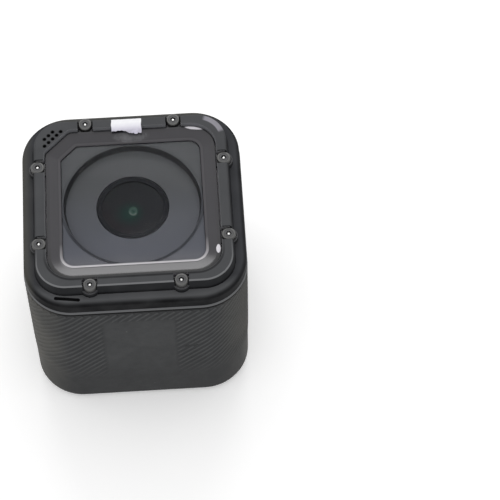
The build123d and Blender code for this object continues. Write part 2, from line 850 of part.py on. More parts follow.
def make_heat_spreader():
    plate = prism(
        RectangleRounded(spreader_side, spreader_side, spreader_corner), spreader_back, spreader_front
    )
    plate -= flex_notch(spreader_back, spreader_front, spreader_side / 2)
    switch_room = (switch_board_top - switch_board_y - switch_board_gap, spreader_side / 2)
    width = switch_board_x + 2 * switch_board_gap
    plate -= block(about(0, width), switch_room, (spreader_back, spreader_front))
    plate -= at(corners(post_spacing), disc(thread_radius, spreader_back, spreader_front))
    plate -= at(corners(mount_screw_spacing), disc(thread_radius, spreader_back, spreader_front))
    for n in range(fins):
        y = (n - (fins - 1) / 2) * fin_pitch
        groove = (spreader_back, spreader_back + fin_depth)
        plate -= block(about(0, mount_hollow_side), about(y, fin_depth), groove)
    return plate


def make_stack_spacers():
    return at(corners(post_spacing), ring(post_radius, thread_radius, board_front, spreader_back))


def make_stack_screws():
    screw = plain_screw(
        stack_head_radius, stack_head_height, thread_radius, spreader_front, stack_screw_length
    )
    return at(corners(post_spacing), screw)


def make_main_board():
    board = prism(RectangleRounded(board_side, board_side, board_corner), board_back, board_front)
    board -= at(corners(post_spacing), disc(thread_radius, board_back, board_front))
    edge = board_side / 2
    port_room = (throat_low - port_plate_margin - port_gap, throat_high + port_plate_margin + port_gap)
    board -= block((port_plate_back - port_gap, edge), port_room, (board_back, board_front))
    panel_room = (cavity_half - panel_y - panel_gap, edge)
    board -= block(about(0, panel_x + 2 * panel_gap), panel_room, (board_back, board_front))
    return board


def make_processor_shield():
    x, y = shield_middle
    can = block(about(x, shield_x), about(y, shield_y), (board_front, board_front + shield_z))
    return fillet(end_edges(can, Axis.Z, -1), shield_z / 6)


def make_memory_chips():
    x, y = memory_middle
    chip = block(about(0, memory_x), about(0, memory_y), (board_front, board_front + memory_z))
    return [Pos(x + side * (memory_x + 1) / 2 + memory_x / 2, y, 0) * chip for side in (-1, 1)]


def make_sensor_flex():
    """Flat cable from the back of the sensor board, through the notch, to the main board."""
    edge = -sensor_board_side / 2
    turn = edge - flex_reach
    high = sensor_board_front + flex_thickness / 2
    low = board_front + flex_thickness / 2
    run = [(edge + flex_overlap, high), (turn, high), (turn, low), (turn + 2 * flex_overlap, low)]
    return strap(run, flex_width, flex_thickness, 0)


def battery_limits():
    return about(battery_shift, battery_x), about(0, battery_y), (battery_back, battery_front)


def make_battery():
    cell = block(*battery_limits())
    return fillet(cell.edges().filter_by(Axis.X), battery_round)


def make_battery_pad():
    x, y, _ = battery_limits()
    grow = battery_pad_margin
    return block((x[0] + grow, x[1] - grow), (y[0] + grow, y[1] - grow),
                 (cavity_back, cavity_back + battery_pad))


def make_battery_plug():
    y = about(plug_height, plug_y)
    return block(about(plug_across, plug_x), y, (board_back - plug_z, board_back))


def make_battery_lead():
    """Two flat wires from the lower edge of the cell to its plug."""
    cell_low = -battery_y / 2
    middle = (battery_back + battery_front) / 2
    half_wire = wire_thickness / 2
    run = [
        (cell_low - half_wire, middle),
        (plug_height, middle),
        (plug_height, board_back - plug_z - half_wire),
    ]
    middles = (plug_across - wire_pitch / 2, plug_across + wire_pitch / 2)
    return [strap(run, wire_width, wire_thickness, x) for x in middles]


# ---- side door ---------------------------------------------------------------------------
def latch_limits(gap):
    """(height, length) limits of the thumb piece and of its travel."""
    top = latch_rest + latch_height
    return (latch_rest - gap, top + gap), about(door_middle, latch_width + 2 * gap)


def make_side_door():
    inner = half - door_thickness
    door = from_side(door_outline(0), inner, half)
    door &= block((inner, half), (hinge_height, door_top), (door_low, door_high)) + disc(
        hinge_radius, door_low, door_high, pin_x, hinge_height
    )
    for middle in knuckle_middles():
        notch = about(middle, knuckle_length + 2 * knuckle_gap)
        door -= disc(hinge_radius + knuckle_gap * 2, *notch, pin_x, hinge_height)
    door -= disc(pin_radius, *about(door_middle, pin_length), pin_x, hinge_height)
    return cut_latch_room(door, inner)


def cut_latch_room(door, inner):
    """The thumb piece's window, and the channel in which the bolt slides."""
    bolt_back = inner + bolt_floor
    slab_back = half - latch_sunk - latch_face
    (low, high), length = latch_limits(latch_gap)
    door -= block((slab_back - latch_gap / 2, half), (low, high + latch_travel), length)
    channel = about(door_middle, bolt_width + 2 * latch_gap)
    door -= block((bolt_back - latch_gap / 4, slab_back), (low, high + latch_travel), channel)
    tunnel = (bolt_back - latch_gap / 4, bolt_back + bolt_thickness + latch_gap / 2)
    return door - block(tunnel, (high, door_top), channel)


def make_door_latch():
    bolt_back = half - door_thickness + bolt_floor
    slab_back = half - latch_sunk - latch_face
    (low, high), length = latch_limits(0)
    thumb = block((slab_back, half - latch_sunk), (low, high), length)
    for n in range(latch_ribs):
        y = (low + high) / 2 + (n - (latch_ribs - 1) / 2) * latch_rib_pitch
        outer = (half - latch_sunk - latch_rib_depth, half - latch_sunk)
        thumb -= block(outer, about(y, latch_rib_pitch / 2), about(door_middle, latch_width * 0.7))
    bolt = about(door_middle, bolt_width)
    neck = block((bolt_back, slab_back), (low, high), bolt)
    reach = block((bolt_back, bolt_back + bolt_thickness), (low, door_top - bolt_sunk), bolt)
    return thumb + neck + reach


def make_door_seal():
    """Rubber ring on the inside of the door, which plugs the throat."""
    inner = half - door_thickness
    height, length = throat_high - throat_low - 2 * seal_gap, throat_length - 2 * seal_gap
    middle = Pos(door_middle, (throat_low + throat_high) / 2)
    outline = RectangleRounded(length, height, throat_corner - seal_gap)
    wall = 2 * door_seal_wall
    room = RectangleRounded(length - wall, height - wall, (throat_corner - seal_gap) / 2)
    return from_side(middle * (outline - room), inner - door_seal_depth, inner)


def make_hinge_pin():
    return disc(pin_radius, *about(door_middle, pin_length), pin_x, hinge_height)


# ---- ports -------------------------------------------------------------------------------
def usb_outline(grow):
    """A rectangle with its lower corners clipped, drawn as (along the lens axis, height)."""
    z, y = usb_height / 2 + grow, usb_width / 2 + grow
    corner = usb_taper
    foot, top = y - corner, z - corner
    points = [(-z, -y), (top, -y), (z, -foot), (z, foot), (top, y), (-z, y)]
    outline = Polygon(*points, align=None)
    return Pos(board_front + usb_height / 2, port_height) * outline


def make_usb_socket():
    back = port_face - usb_depth
    shell = from_side(usb_outline(0), back, port_face)
    shell -= from_side(usb_outline(-usb_sheet), back + usb_sheet, port_face)
    middle = board_front + usb_height * 0.62
    tongue = block((back, port_face - usb_sheet * 2), about(port_height, usb_width * 0.62),
                   about(middle, usb_tongue))
    return shell + tongue


def make_card_socket():
    back = port_face - card_depth
    front = (board_back - card_height, board_back)
    body = block((back, port_face), about(port_height, card_width), front)
    middle = board_back - card_height / 2
    return body - block((back + usb_sheet, port_face), about(port_height, card_slot_width),
                        about(middle, card_slot_height))


def make_port_plate():
    """The plate that closes the throat round the two sockets."""
    margin = port_plate_margin
    height, length = throat_high - throat_low + 2 * margin, throat_length + 2 * margin
    middle = Pos(door_middle, (throat_low + throat_high) / 2)
    outline = middle * RectangleRounded(length, height, throat_corner)
    plate = from_side(outline, port_plate_back, bay_back)
    plate -= from_side(usb_outline(port_gap), port_plate_back, bay_back)
    return plate - block(
        (port_plate_back, bay_back),
        about(port_height, card_width + 2 * port_gap),
        (board_back - card_height - port_gap, board_back + port_gap),
    )


# ---- top ---------------------------------------------------------------------------------
def make_shutter_button():
    top = shutter_bottom + shutter_thickness
    cap = from_top(shutter_outline(0), shutter_bottom, top)
    cap = fillet(end_edges(cap, Axis.Y, -1), shutter_round)
    mark = Circle(ring_radius) - Circle(ring_radius - ring_width)
    cap -= from_top(Pos(0, shutter_middle) * mark, top - ring_depth, top)
    return cap + from_top(Pos(0, shutter_middle) * Circle(stem_radius), stem_end, shutter_bottom)


def make_shutter_seal():
    outline = Circle(packing_radius) - Circle(stem_radius + stem_gap)
    return from_top(Pos(0, shutter_middle) * outline, well_underside, well_underside + packing_height)


def make_shutter_board():
    y = (switch_board_top - switch_board_y, switch_board_top)
    return block(about(0, switch_board_x), y, about(shutter_middle, switch_board_z))


def make_shutter_switch():
    """Tactile switch, with its plunger pressed down as far as the stem can push it."""
    top = switch_board_top + switch_y
    body = block(about(0, switch_x), (switch_board_top, top), about(shutter_middle, switch_z))
    return body + from_top(Pos(0, shutter_middle) * Circle(plunger_radius), top, plunger_top)


def make_display_window():
    return from_top(display_outline(0), display_seat + display_gasket, half - display_sunk)


def make_display_gasket():
    outline = display_outline(0) - display_outline(-display_border)
    return from_top(outline, display_seat, display_seat + display_gasket)


def make_display_panel():
    y = (cavity_half - panel_y, cavity_half)
    return block(about(0, panel_x), y, about(display_middle, panel_z))


# ---- back --------------------------------------------------------------------------------
def make_info_button():
    outer = plate_sunk - info_proud
    cap = disc(info_radius, outer, info_cap_back, 0, info_height)
    cap = chamfer(end_edges(cap, Axis.Z, 0), info_proud)
    return cap + disc(info_stem_radius, info_cap_back, cavity_back, 0, info_height)


def make_info_switch():
    z = (info_board_back - info_switch_height, info_board_back)
    return block(about(0, info_switch_side), about(info_height, info_switch_side), z)


def make_info_board():
    z = (info_board_back, info_board_back + info_board_z)
    return block(about(0, info_board_x), about(info_height, info_board_y), z)


def make_rear_microphone():
    return block(about(-rear_hole_offset, capsule_x), about(info_height, capsule_y),
                 (cavity_back, cavity_back + capsule_z))


def make_rear_light():
    lens = disc(rear_light_radius, plate_sunk + plate_gap, cavity_back, rear_hole_offset, info_height)
    return lens + block(about(rear_hole_offset, capsule_y), about(info_height, capsule_y),
                        (cavity_back, cavity_back + capsule_z))


# ---- front microphone, status light, sound, aerial, tape ---------------------------------
def make_front_microphone():
    front = body_depth - mic_skin
    return mic_pocket(mic_gap, front - mic_height, front)


def make_light_guide():
    return prism(light_outline(0), hollow_front, ledge - light_sunk)


def make_light_emitter():
    return led_room(mic_gap / 2, hollow_front - led_z, hollow_front)


def make_buzzer():
    y = (-cavity_half, -cavity_half + buzzer_y)
    return block(about(0, buzzer_x), y, (side_part_back, spigot_back - buzzer_front_gap))


def make_aerial():
    x = (-cavity_half, -cavity_half + aerial_thickness)
    return block(x, about(0, aerial_y), (side_part_back, spigot_back - aerial_front_gap))


def make_seal_tape():
    """Factory tape over the top of the cover's gap, stuck down to the frame."""
    edge = frame_side / 2 - frame_chamfer
    layer = (body_depth, body_depth + tape_thickness)
    strip = block((tape_left, tape_right), (tape_end, edge), layer)
    return strip + block((tape_tail_from, tape_tail_to), (tape_end - tape_tail, tape_end), layer)


# ---- build -------------------------------------------------------------------------------
makers = {
    "housing": make_housing,
    "rubber_sleeve": make_rubber_sleeve,
    "rear_plate": make_rear_plate,
    "front_housing": make_front_housing,
    "housing_gasket": make_housing_gasket,
    "cover_frame": make_cover_frame,
    "cover_seal": make_cover_seal,
    "cover_glass": make_cover_glass,
    "cover_screws": make_cover_screws,
    "lens_plate": make_lens_plate,
    "lens_barrel": make_lens_barrel,
    "front_element": make_front_element,
    "middle_element": make_middle_element,
    "rear_element": make_rear_element,
    "lens_stop": make_lens_stop,
    "lens_mount": make_lens_mount,
    "mount_screws": make_mount_screws,
    "infrared_filter": make_infrared_filter,
    "image_sensor": make_image_sensor,
    "sensor_board": make_sensor_board,
    "thermal_pad": make_thermal_pad,
    "heat_spreader": make_heat_spreader,
    "stack_spacers": make_stack_spacers,
    "stack_screws": make_stack_screws,
    "main_board": make_main_board,
    "processor_shield": make_processor_shield,
    "memory_chips": make_memory_chips,
    "sensor_flex": make_sensor_flex,
    "battery": make_battery,
    "battery_pad": make_battery_pad,
    "battery_plug": make_battery_plug,
    "battery_lead": make_battery_lead,
    "usb_socket": make_usb_socket,
    "card_socket": make_card_socket,
    "port_plate": make_port_plate,
    "side_door": make_side_door,
    "door_seal": make_door_seal,
    "hinge_pin": make_hinge_pin,
    "door_latch": make_door_latch,
    "shutter_button": make_shutter_button,
    "shutter_seal": make_shutter_seal,
    "shutter_board": make_shutter_board,
    "shutter_switch": make_shutter_switch,
    "display_window": make_display_window,
    "display_gasket": make_display_gasket,
    "display_panel": make_display_panel,
    "info_button": make_info_button,
    "info_switch": make_info_switch,
    "info_board": make_info_board,
    "rear_microphone": make_rear_microphone,
    "rear_light": make_rear_light,
    "front_microphone": make_front_microphone,
    "light_guide": make_light_guide,
    "light_emitter": make_light_emitter,
    "buzzer": make_buzzer,
    "aerial": make_aerial,
    "seal_tape": make_seal_tape,
}

# Stand the camera on its base: the lens axis turns from +z to -Y.
upright = Pos(0, (body_depth + tape_thickness) / 2, half) * Rot(90, 0, 0)


def one_piece(shape):
    """A node's solids as one shape, whether it was drawn as one body or as several."""
    shapes = shape if isinstance(shape, list) else [shape]
    solids = [solid for each in shapes for solid in each.solids()]
    return solids[0] if len(solids) == 1 else Compound(solids)


os.makedirs("parts", exist_ok=True)
for name, make in makers.items():
    export_step(upright * one_piece(make()), f"parts/{name}.step")
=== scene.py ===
import math

import bmesh
import bpy
from mathutils import Matrix, Vector


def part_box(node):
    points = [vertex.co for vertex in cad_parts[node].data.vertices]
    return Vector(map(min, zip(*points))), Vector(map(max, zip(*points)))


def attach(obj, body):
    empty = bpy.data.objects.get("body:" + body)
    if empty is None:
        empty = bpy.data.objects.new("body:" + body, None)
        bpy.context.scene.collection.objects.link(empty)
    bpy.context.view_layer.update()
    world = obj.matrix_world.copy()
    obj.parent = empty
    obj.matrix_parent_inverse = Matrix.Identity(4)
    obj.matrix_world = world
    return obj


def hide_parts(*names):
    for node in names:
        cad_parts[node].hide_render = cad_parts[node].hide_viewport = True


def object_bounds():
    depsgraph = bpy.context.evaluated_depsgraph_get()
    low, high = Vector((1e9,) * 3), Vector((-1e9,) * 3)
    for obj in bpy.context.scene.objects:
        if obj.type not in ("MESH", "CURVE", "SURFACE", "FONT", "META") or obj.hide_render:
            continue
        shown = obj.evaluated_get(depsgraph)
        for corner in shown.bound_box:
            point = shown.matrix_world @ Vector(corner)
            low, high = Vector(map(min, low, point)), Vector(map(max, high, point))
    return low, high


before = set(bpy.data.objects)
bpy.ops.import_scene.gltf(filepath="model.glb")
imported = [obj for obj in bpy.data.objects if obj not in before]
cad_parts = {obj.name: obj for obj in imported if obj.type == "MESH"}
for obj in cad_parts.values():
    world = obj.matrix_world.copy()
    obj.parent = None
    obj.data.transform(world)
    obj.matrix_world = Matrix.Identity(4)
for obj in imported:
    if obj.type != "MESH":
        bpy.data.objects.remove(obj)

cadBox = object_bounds()
mm = 0.001
print("camera solids loaded:", len(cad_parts))


# The sizes that the pieces hang on, read from the solids
sleeveLow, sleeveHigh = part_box("rubber_sleeve")
half = sleeveHigh.x
axisHeight = (sleeveLow.z + sleeveHigh.z) / 2  # lens axis above the base
backFace = sleeveHigh.y
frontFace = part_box("front_housing")[0].y
bodyCorner = 8.3 * mm


def fromLens(across, up, out):
    # millimetres right, up and forward of the back face, looking into the lens
    return Vector((across * mm, backFace - out * mm, axisHeight + up * mm))


def shade(red, green, blue):
    # a screen colour from 0 to 255, as linear light
    def linear(part):
        part /= 255
        return part / 12.92 if part <= 0.04045 else ((part + 0.055) / 1.055) ** 2.4

    return (linear(red), linear(green), linear(blue), 1)


class Look(dict):
    # named values, read as look.grain
    __getattr__ = dict.__getitem__


def sumBy(operation, swapped=False):
    # a method of Signal that makes one Math node
    def combine(self, other):
        return self.maths(operation, other, self) if swapped else self.maths(operation, self, other)

    return combine


class Signal:
    # one socket of a node tree: sums on it become Math nodes
    def __init__(self, tree, socket=None):
        self.tree = tree
        self.socket = socket

    def node(self, kind, settings=None, inputs=None, output=0):
        made = self.tree.nodes.new("ShaderNode" + kind)
        for name, value in (settings or {}).items():
            setattr(made, name, value)
        for name, value in (inputs or {}).items():
            if isinstance(value, Signal):
                self.tree.links.new(value.socket, made.inputs[name])
            else:
                made.inputs[name].default_value = value
        return Signal(self.tree, made.outputs[output])

    def maths(self, operation, first, second=0.0):
        return self.node("Math", {"operation": operation}, {0: first, 1: second})

    __add__, __radd__ = sumBy("ADD"), sumBy("ADD", swapped=True)
    __sub__, __rsub__ = sumBy("SUBTRACT"), sumBy("SUBTRACT", swapped=True)
    __mul__, __rmul__ = sumBy("MULTIPLY"), sumBy("MULTIPLY", swapped=True)
    __truediv__ = sumBy("DIVIDE")
    __pow__ = sumBy("POWER")
    __gt__ = sumBy("GREATER_THAN")
    __lt__ = sumBy("LESS_THAN")


def startFinish(name):
    # a new material and the start of its node sums
    material = bpy.data.materials.new(name)
    material.use_nodes = True
    return material, Signal(material.node_tree)


def place(start):
    return start.node("TexCoord", output=3)


def along(start, axis):
    # the distance along one axis of the object
    return start.node("SeparateXYZ", inputs={0: place(start)}, output="XYZ".index(axis))


def acrossAxis(start):
    # millimetres to the right of the lens axis
    return along(start, "X") / mm


def aboveAxis(start):
    # millimetres above the lens axis
    return (along(start, "Z") - axisHeight) / mm


def apartBy(across, up):
    return across.maths("SQRT", across * across + up * up)


def fromAxis(start):
    # millimetres from the lens axis, all round
    return apartBy(acrossAxis(start), aboveAxis(start))


def pastBack(start):
    # millimetres forward of the back face
    return (backFace - along(start, "Y")) / mm


def forward(start):
    # 1 where the surface faces the front, 0 on its sides
    normal = start.node("TexCoord", output=1)
    return start.node("SeparateXYZ", inputs={0: normal}, output=1) * -1


def marked(start, name):
    # a share that is stored at the points of a piece
    return start.node("Attribute", {"attribute_name": name}, output=2)


def unsigned(value):
    return value.maths("ABSOLUTE", value)


def larger(first, second):
    return first.maths("MAXIMUM", first, second)


def limit(share, low, high):
    # 0 below low, 1 above high, even between them
    return share.node("MapRange", {"clamp": True}, {"Value": share, "From Min": low, "From Max": high})


def span(value, low, high, soft):
    # 1 between low and high, with soft ends
    return limit(value, low, low + soft) * (1 - limit(value, high - soft, high))


def noise(start, scale, detail=2.0, roughness=0.5, stretch=None):
    spot = place(start)
    if stretch:
        spot = start.node("VectorMath", {"operation": "MULTIPLY"}, {0: spot, 1: stretch})
    inputs = {"Vector": spot, "Scale": scale, "Detail": detail, "Roughness": roughness}
    return start.node("TexNoise", inputs=inputs)


def mixed(share, low, high):
    # a colour between two, by a share from 0 to 1; plain ones are screen colours
    low, high = (value if isinstance(value, Signal) else shade(*value) for value in (low, high))
    return share.node("Mix", {"data_type": "RGBA"}, {0: share, 6: low, 7: high}, output=2)


def worn(start, width):
    # 1 on sharp outer edges, by how far a small bevel would turn them; it places wear, and on the front
    # housing painted highlights and painted shade
    bevel = start.node("Bevel", {"samples": 6}, {"Radius": width})
    flat = start.node("NewGeometry", output=1)
    turned = start.node("VectorMath", {"operation": "DOT_PRODUCT"}, {0: bevel, 1: flat}, output=1)
    return limit(1 - turned, 0.03, 0.22)


def painted(material, look, base, roughness, bump=None, metallic=0.0):
    # feeds the shader of a finish, with what its look sets for the whole surface
    shader = material.node_tree.nodes["Principled BSDF"]
    feeds = {"Base Color": base, "Roughness": roughness, "Metallic": metallic}
    if bump is not None:
        depth = look.depth * mm
        feeds["Normal"] = bump.node("Bump", inputs={"Strength": 1.0, "Distance": depth, "Height": bump})
    evenValues = {
        "specular": "Specular IOR Level",
        "coat": "Coat Weight",
        "shine": "Emission Color",
        "shineStrength": "Emission Strength",
    }
    feeds.update({socket: look[key] for key, socket in evenValues.items() if key in look})
    for socket, value in feeds.items():
        if isinstance(value, Signal):
            value.tree.links.new(value.socket, shader.inputs[socket])
        else:
            shader.inputs[socket].default_value = value
    return material


def showMix(material, share, first, second):
    # shows a mix of two shaders, where None stands for the finish's own
    tree = material.node_tree
    own = Signal(tree, tree.nodes["Principled BSDF"].outputs[0])
    both = own.node("MixShader", inputs={0: share, 1: first or own, 2: second or own})
    tree.links.new(both.socket, tree.nodes["Material Output"].inputs[0])


# Moulded plastics: two close colours in clouds, a fine grain, and edges rubbed lighter
mouldedLooks = {
    "housing_plastic": Look(
        dark=(38, 38, 39), light=(44, 44, 45), edge=(74, 74, 75), wear=0.35,
        grain=5200, depth=0.016, rough=(0.5, 0.66), specular=0.3,
    ),
    "trim_plastic": Look(
        dark=(34, 34, 34), light=(40, 40, 40), edge=(70, 70, 70), wear=0.4,
        grain=7000, depth=0.008, rough=(0.42, 0.55), specular=0.3,
    ),
    "button_plastic": Look(
        dark=(55, 55, 55), light=(61, 61, 60), edge=(96, 96, 95), wear=0.45,
        grain=7600, depth=0.008, rough=(0.42, 0.55), specular=0.35,
    ),
    "mount_plastic": Look(
        dark=(40, 40, 40), light=(46, 46, 46), edge=(80, 80, 80), wear=0.3,
        grain=6000, depth=0.01, rough=(0.5, 0.62), specular=0.3,
    ),
    "plug_plastic": Look(
        dark=(214, 211, 203), light=(222, 219, 212), edge=(230, 228, 222), wear=0.2,
        grain=6000, depth=0.006, rough=(0.45, 0.55), specular=0.4,
    ),
    "buzzer_plastic": Look(
        dark=(46, 46, 47), light=(52, 52, 53), edge=(84, 84, 84), wear=0.3,
        grain=6500, depth=0.01, rough=(0.45, 0.6), specular=0.3,
    ),
    "seal_rubber": Look(
        dark=(26, 26, 26), light=(31, 31, 31), edge=(46, 46, 46), wear=0.2,
        grain=4200, depth=0.008, rough=(0.62, 0.75), specular=0.2,
    ),
    "chip_ceramic": Look(
        dark=(48, 50, 54), light=(54, 56, 60), edge=(90, 92, 96), wear=0.3,
        grain=8000, depth=0.006, rough=(0.4, 0.52), specular=0.35,
    ),
    "aerial_ceramic": Look(
        dark=(208, 204, 190), light=(220, 216, 203), edge=(232, 229, 220), wear=0.3,
        grain=5200, depth=0.008, rough=(0.55, 0.7), specular=0.35,
    ),
    "pad_foam": Look(
        dark=(158, 163, 170), light=(172, 176, 182), edge=(184, 188, 192), wear=0.2,
        grain=2600, depth=0.03, rough=(0.8, 0.9), specular=0.2,
    ),
    "wire_sleeve": Look(
        dark=(168, 34, 30), light=(184, 42, 36), edge=(200, 70, 60), wear=0.2,
        grain=3600, depth=0.006, rough=(0.5, 0.6), specular=0.35,
    ),
    "emitter_resin": Look(
        dark=(228, 228, 214), light=(238, 238, 228), edge=(246, 246, 240), wear=0.2,
        grain=4000, depth=0.004, rough=(0.18, 0.28), specular=0.5,
    ),
}


def mouldedFinish(name, look):
    material, start = startFinish(name)
    clouds = noise(start, 260, 3.0)
    grain = noise(start, look.grain, 2.0, 0.6)
    base = mixed(clouds, look.dark, look.light)
    palerShare = worn(start, 0.12 * mm) * limit(noise(start, 900, 3.0), 0.25, 0.75) * look.wear
    base = mixed(palerShare, base, look.edge)
    low, high = look.rough
    return painted(material, look, base, low + (high - low) * grain - palerShare * 0.1, grain)


finishes = {name: mouldedFinish(name, look) for name, look in mouldedLooks.items()}

# Slanting ribs of the sleeve and the door, shared by their finish and their pieces; all in millimetres
ribLook = Look(
    pitch=1.41,  # round the body
    width=0.66,
    crown=0.5,  # share of the width at the top
    height=0.1, step=0.8, frontEnd=30.25, backFade=(6.5, 13.0), topFade=(45.5, 50.5),
    sideFade=(31, 35),  # the same, in the finish, as a height above the base
    patch=(6.0, 8.0, 27.5),  # half width, back and front of the smooth patch below
    doorRoom=(-10.3, 7.95, 2.4, 23.6),  # low, high, back, front
    doorRibs=(-8.3, 7.2, 3.25, 22.75), doorCorner=2.4,
    latchRoom=(3.3, 9.6, 16.4),  # low, back, front
    root=0.03,  # below the skin, at a rib's foot
    sunk=0.012,  # below the skin, where a rib has faded out
    skin=(0.3, 1.75, 1.19),  # depth of the skin, depth of its bend over the back edge, and that edge's reach
    lineReach=60, moreLines=12,
    walk=(3.0, 31, 0.05, 0.5),  # from, to and stride along a line, and its shortest rib
)

# Rubber sleeve: neutral grey and dusty, with painted shade in the valleys of the ribs, painted highlights on
# their crowns, warm painted light on its sides, and painted shade at its front edge and back end
sleeveLook = Look(
    dark=(54, 55, 56), light=(69, 70, 71), valley=(44, 45, 46), valleyShare=0.48,
    crown=(83, 84, 85), crownShare=0.5,
    ribFade=(12, 17, 0.6),  # from and to, from the middle, and how much of the ribs' contrast goes
    seam=(30, 30, 31), seamFrom=(30.35, 30.5), seamShare=1.0, warm=(98, 96, 90), warmShare=0.85,
    warmLeft=(-12.5, -18.0), warmRight=(13.0, 18.5, 0.55), dimBack=(15.0, 7.0, 0.4),
    dimBelow=(8, 16), dust=(150, 150, 148), grain=3400, depth=0.022, specular=0.18,
)


def ribbedShare(start):
    # 1 where the sleeve has ribs
    look = ribLook
    deep, across, height = pastBack(start), unsigned(acrossAxis(start)), along(start, "Z") / mm
    wide, low, top = look.patch
    patch = (1 - limit(across, wide - 0.2, wide + 0.4)) * span(deep, low - 0.3, top + 0.3, 0.6)
    patch = patch * (1 - limit(height, 3, 5))
    ends = limit(deep, *look.backFade) * (1 - limit(deep, look.frontEnd, look.frontEnd + 0.2))
    return ends * (1 - limit(height, *look.sideFade)) * (1 - patch)


def doorRibbedShare(start):
    low, top, back, front = ribLook.doorRibs
    return span(pastBack(start), back, front, 0.4) * span(aboveAxis(start), low, top, 0.4)


def sleeveFinish(name, look, ribbed):
    material, start = startFinish(name)
    across, up, deep = acrossAxis(start), aboveAxis(start), pastBack(start)
    large, small = limit(noise(start, 90, 4.0, 0.6), 0.3, 0.7), limit(noise(start, 520, 3.0), 0.3, 0.7)
    grain = noise(start, look.grain, 3.0, 0.65)
    base = mixed(0.6 * large + 0.4 * small, look.dark, look.light)
    # painted shade in the ribs' valleys and painted highlights on their crowns, both fainter towards the
    # sides
    crown = marked(start, "crown")
    near, far, lost = look.ribFade
    kept = 1 - lost * limit(unsigned(across), near, far)
    base = mixed(ribbed(start) * (1 - crown) * kept * look.valleyShare, base, look.valley)
    # the crowns are painted paler as a painted highlight, broken in patches by noise
    palerShare = crown * kept * look.crownShare * limit(noise(start, 300, 2.0), 0.1, 0.7)
    base = mixed(palerShare, base, look.crown)
    # painted shade along the front edge, where the sleeve meets the front housing
    base = mixed(limit(deep, *look.seamFrom) * look.seamShare, base, look.seam)
    # warm painted light on its sides, most on the left, and painted shade at its back end, below
    inner, outer, share = look.warmRight
    side = larger(limit(across, *look.warmLeft), share * limit(across, inner, outer))
    warm = side * (0.4 + 0.6 * limit(noise(start, 180, 3.0), 0.25, 0.75)) * look.warmShare
    base = mixed(warm, base, look.warm)
    front, back, share = look.dimBack
    base = mixed(limit(deep, front, back) * share * limit(0 - up, *look.dimBelow), base, look.seam)
    specks = start.node("TexVoronoi", inputs={"Vector": place(start), "Scale": 420.0})
    dust = (specks < 0.035) * limit(noise(start, 60, 1.0), 0.5, 0.7) * 0.6
    return painted(material, look, mixed(dust, base, look.dust), 0.66 + 0.2 * grain, grain)


doorLook = Look(sleeveLook, light=(61, 62, 63), seamShare=0.0, depth=0.014)
finishes["sleeve_rubber"] = sleeveFinish("sleeve_rubber", sleeveLook, ribbedShare)
finishes["door_plastic"] = sleeveFinish("door_plastic", doorLook, doorRibbedShare)

# Front housing, with painted light and shade: pale where it faces forward, dark down its walls, and painted
# highlights along its rims
frontLook = Look(
    face=(75, 76, 78), ledge=(92, 93, 95), ledgeSide=(62, 63, 66), ledgeFade=(-14.5, -16.5),
    wall=(36, 37, 39), wallLow=(14, 14, 16), warm=(86, 85, 79), warmFrom=(16.9, 18.6),
    warmShare=0.6,
    frameDepth=2.0,  # millimetres from the front face, before the ledge
    pocket=(84, 84, 86), pocketFloor=(210, 210, 212), pocketWall=(124, 124, 126),
    pocketTop=0.3,  # depth that counts as inside a pocket, and below which is its floor
    pocketStep=1.5,
    pocketReach=(16.3, 27.0),  # larger of across and up, and their sum, inside the frame's outer wall
    opening=14.95, openingCorner=4.5, inside=(120, 121, 125), rim=(124, 125, 127), rimLow=(-8, -14),
    flangeDepth=(4.7, 5.25), flangeLow=(0, -12), below=(8, 13),
    shadow=0.65,  # strength and end of the painted shadow line round the lower part of the opening
    shadowEnd=(0.25, 0.39), hole=(12, 12, 13),
    holesFrom=25.75,  # across and up together, past which the microphone's holes are
    streak=(152, 150, 158),
    arc=(11.55, 4.5, 0.55),  # middle, radius and half width of the painted reflection in a corner
    arcTurn=(0.26, 1.3), grain=6400, depth=0.012, specular=0.03,
)


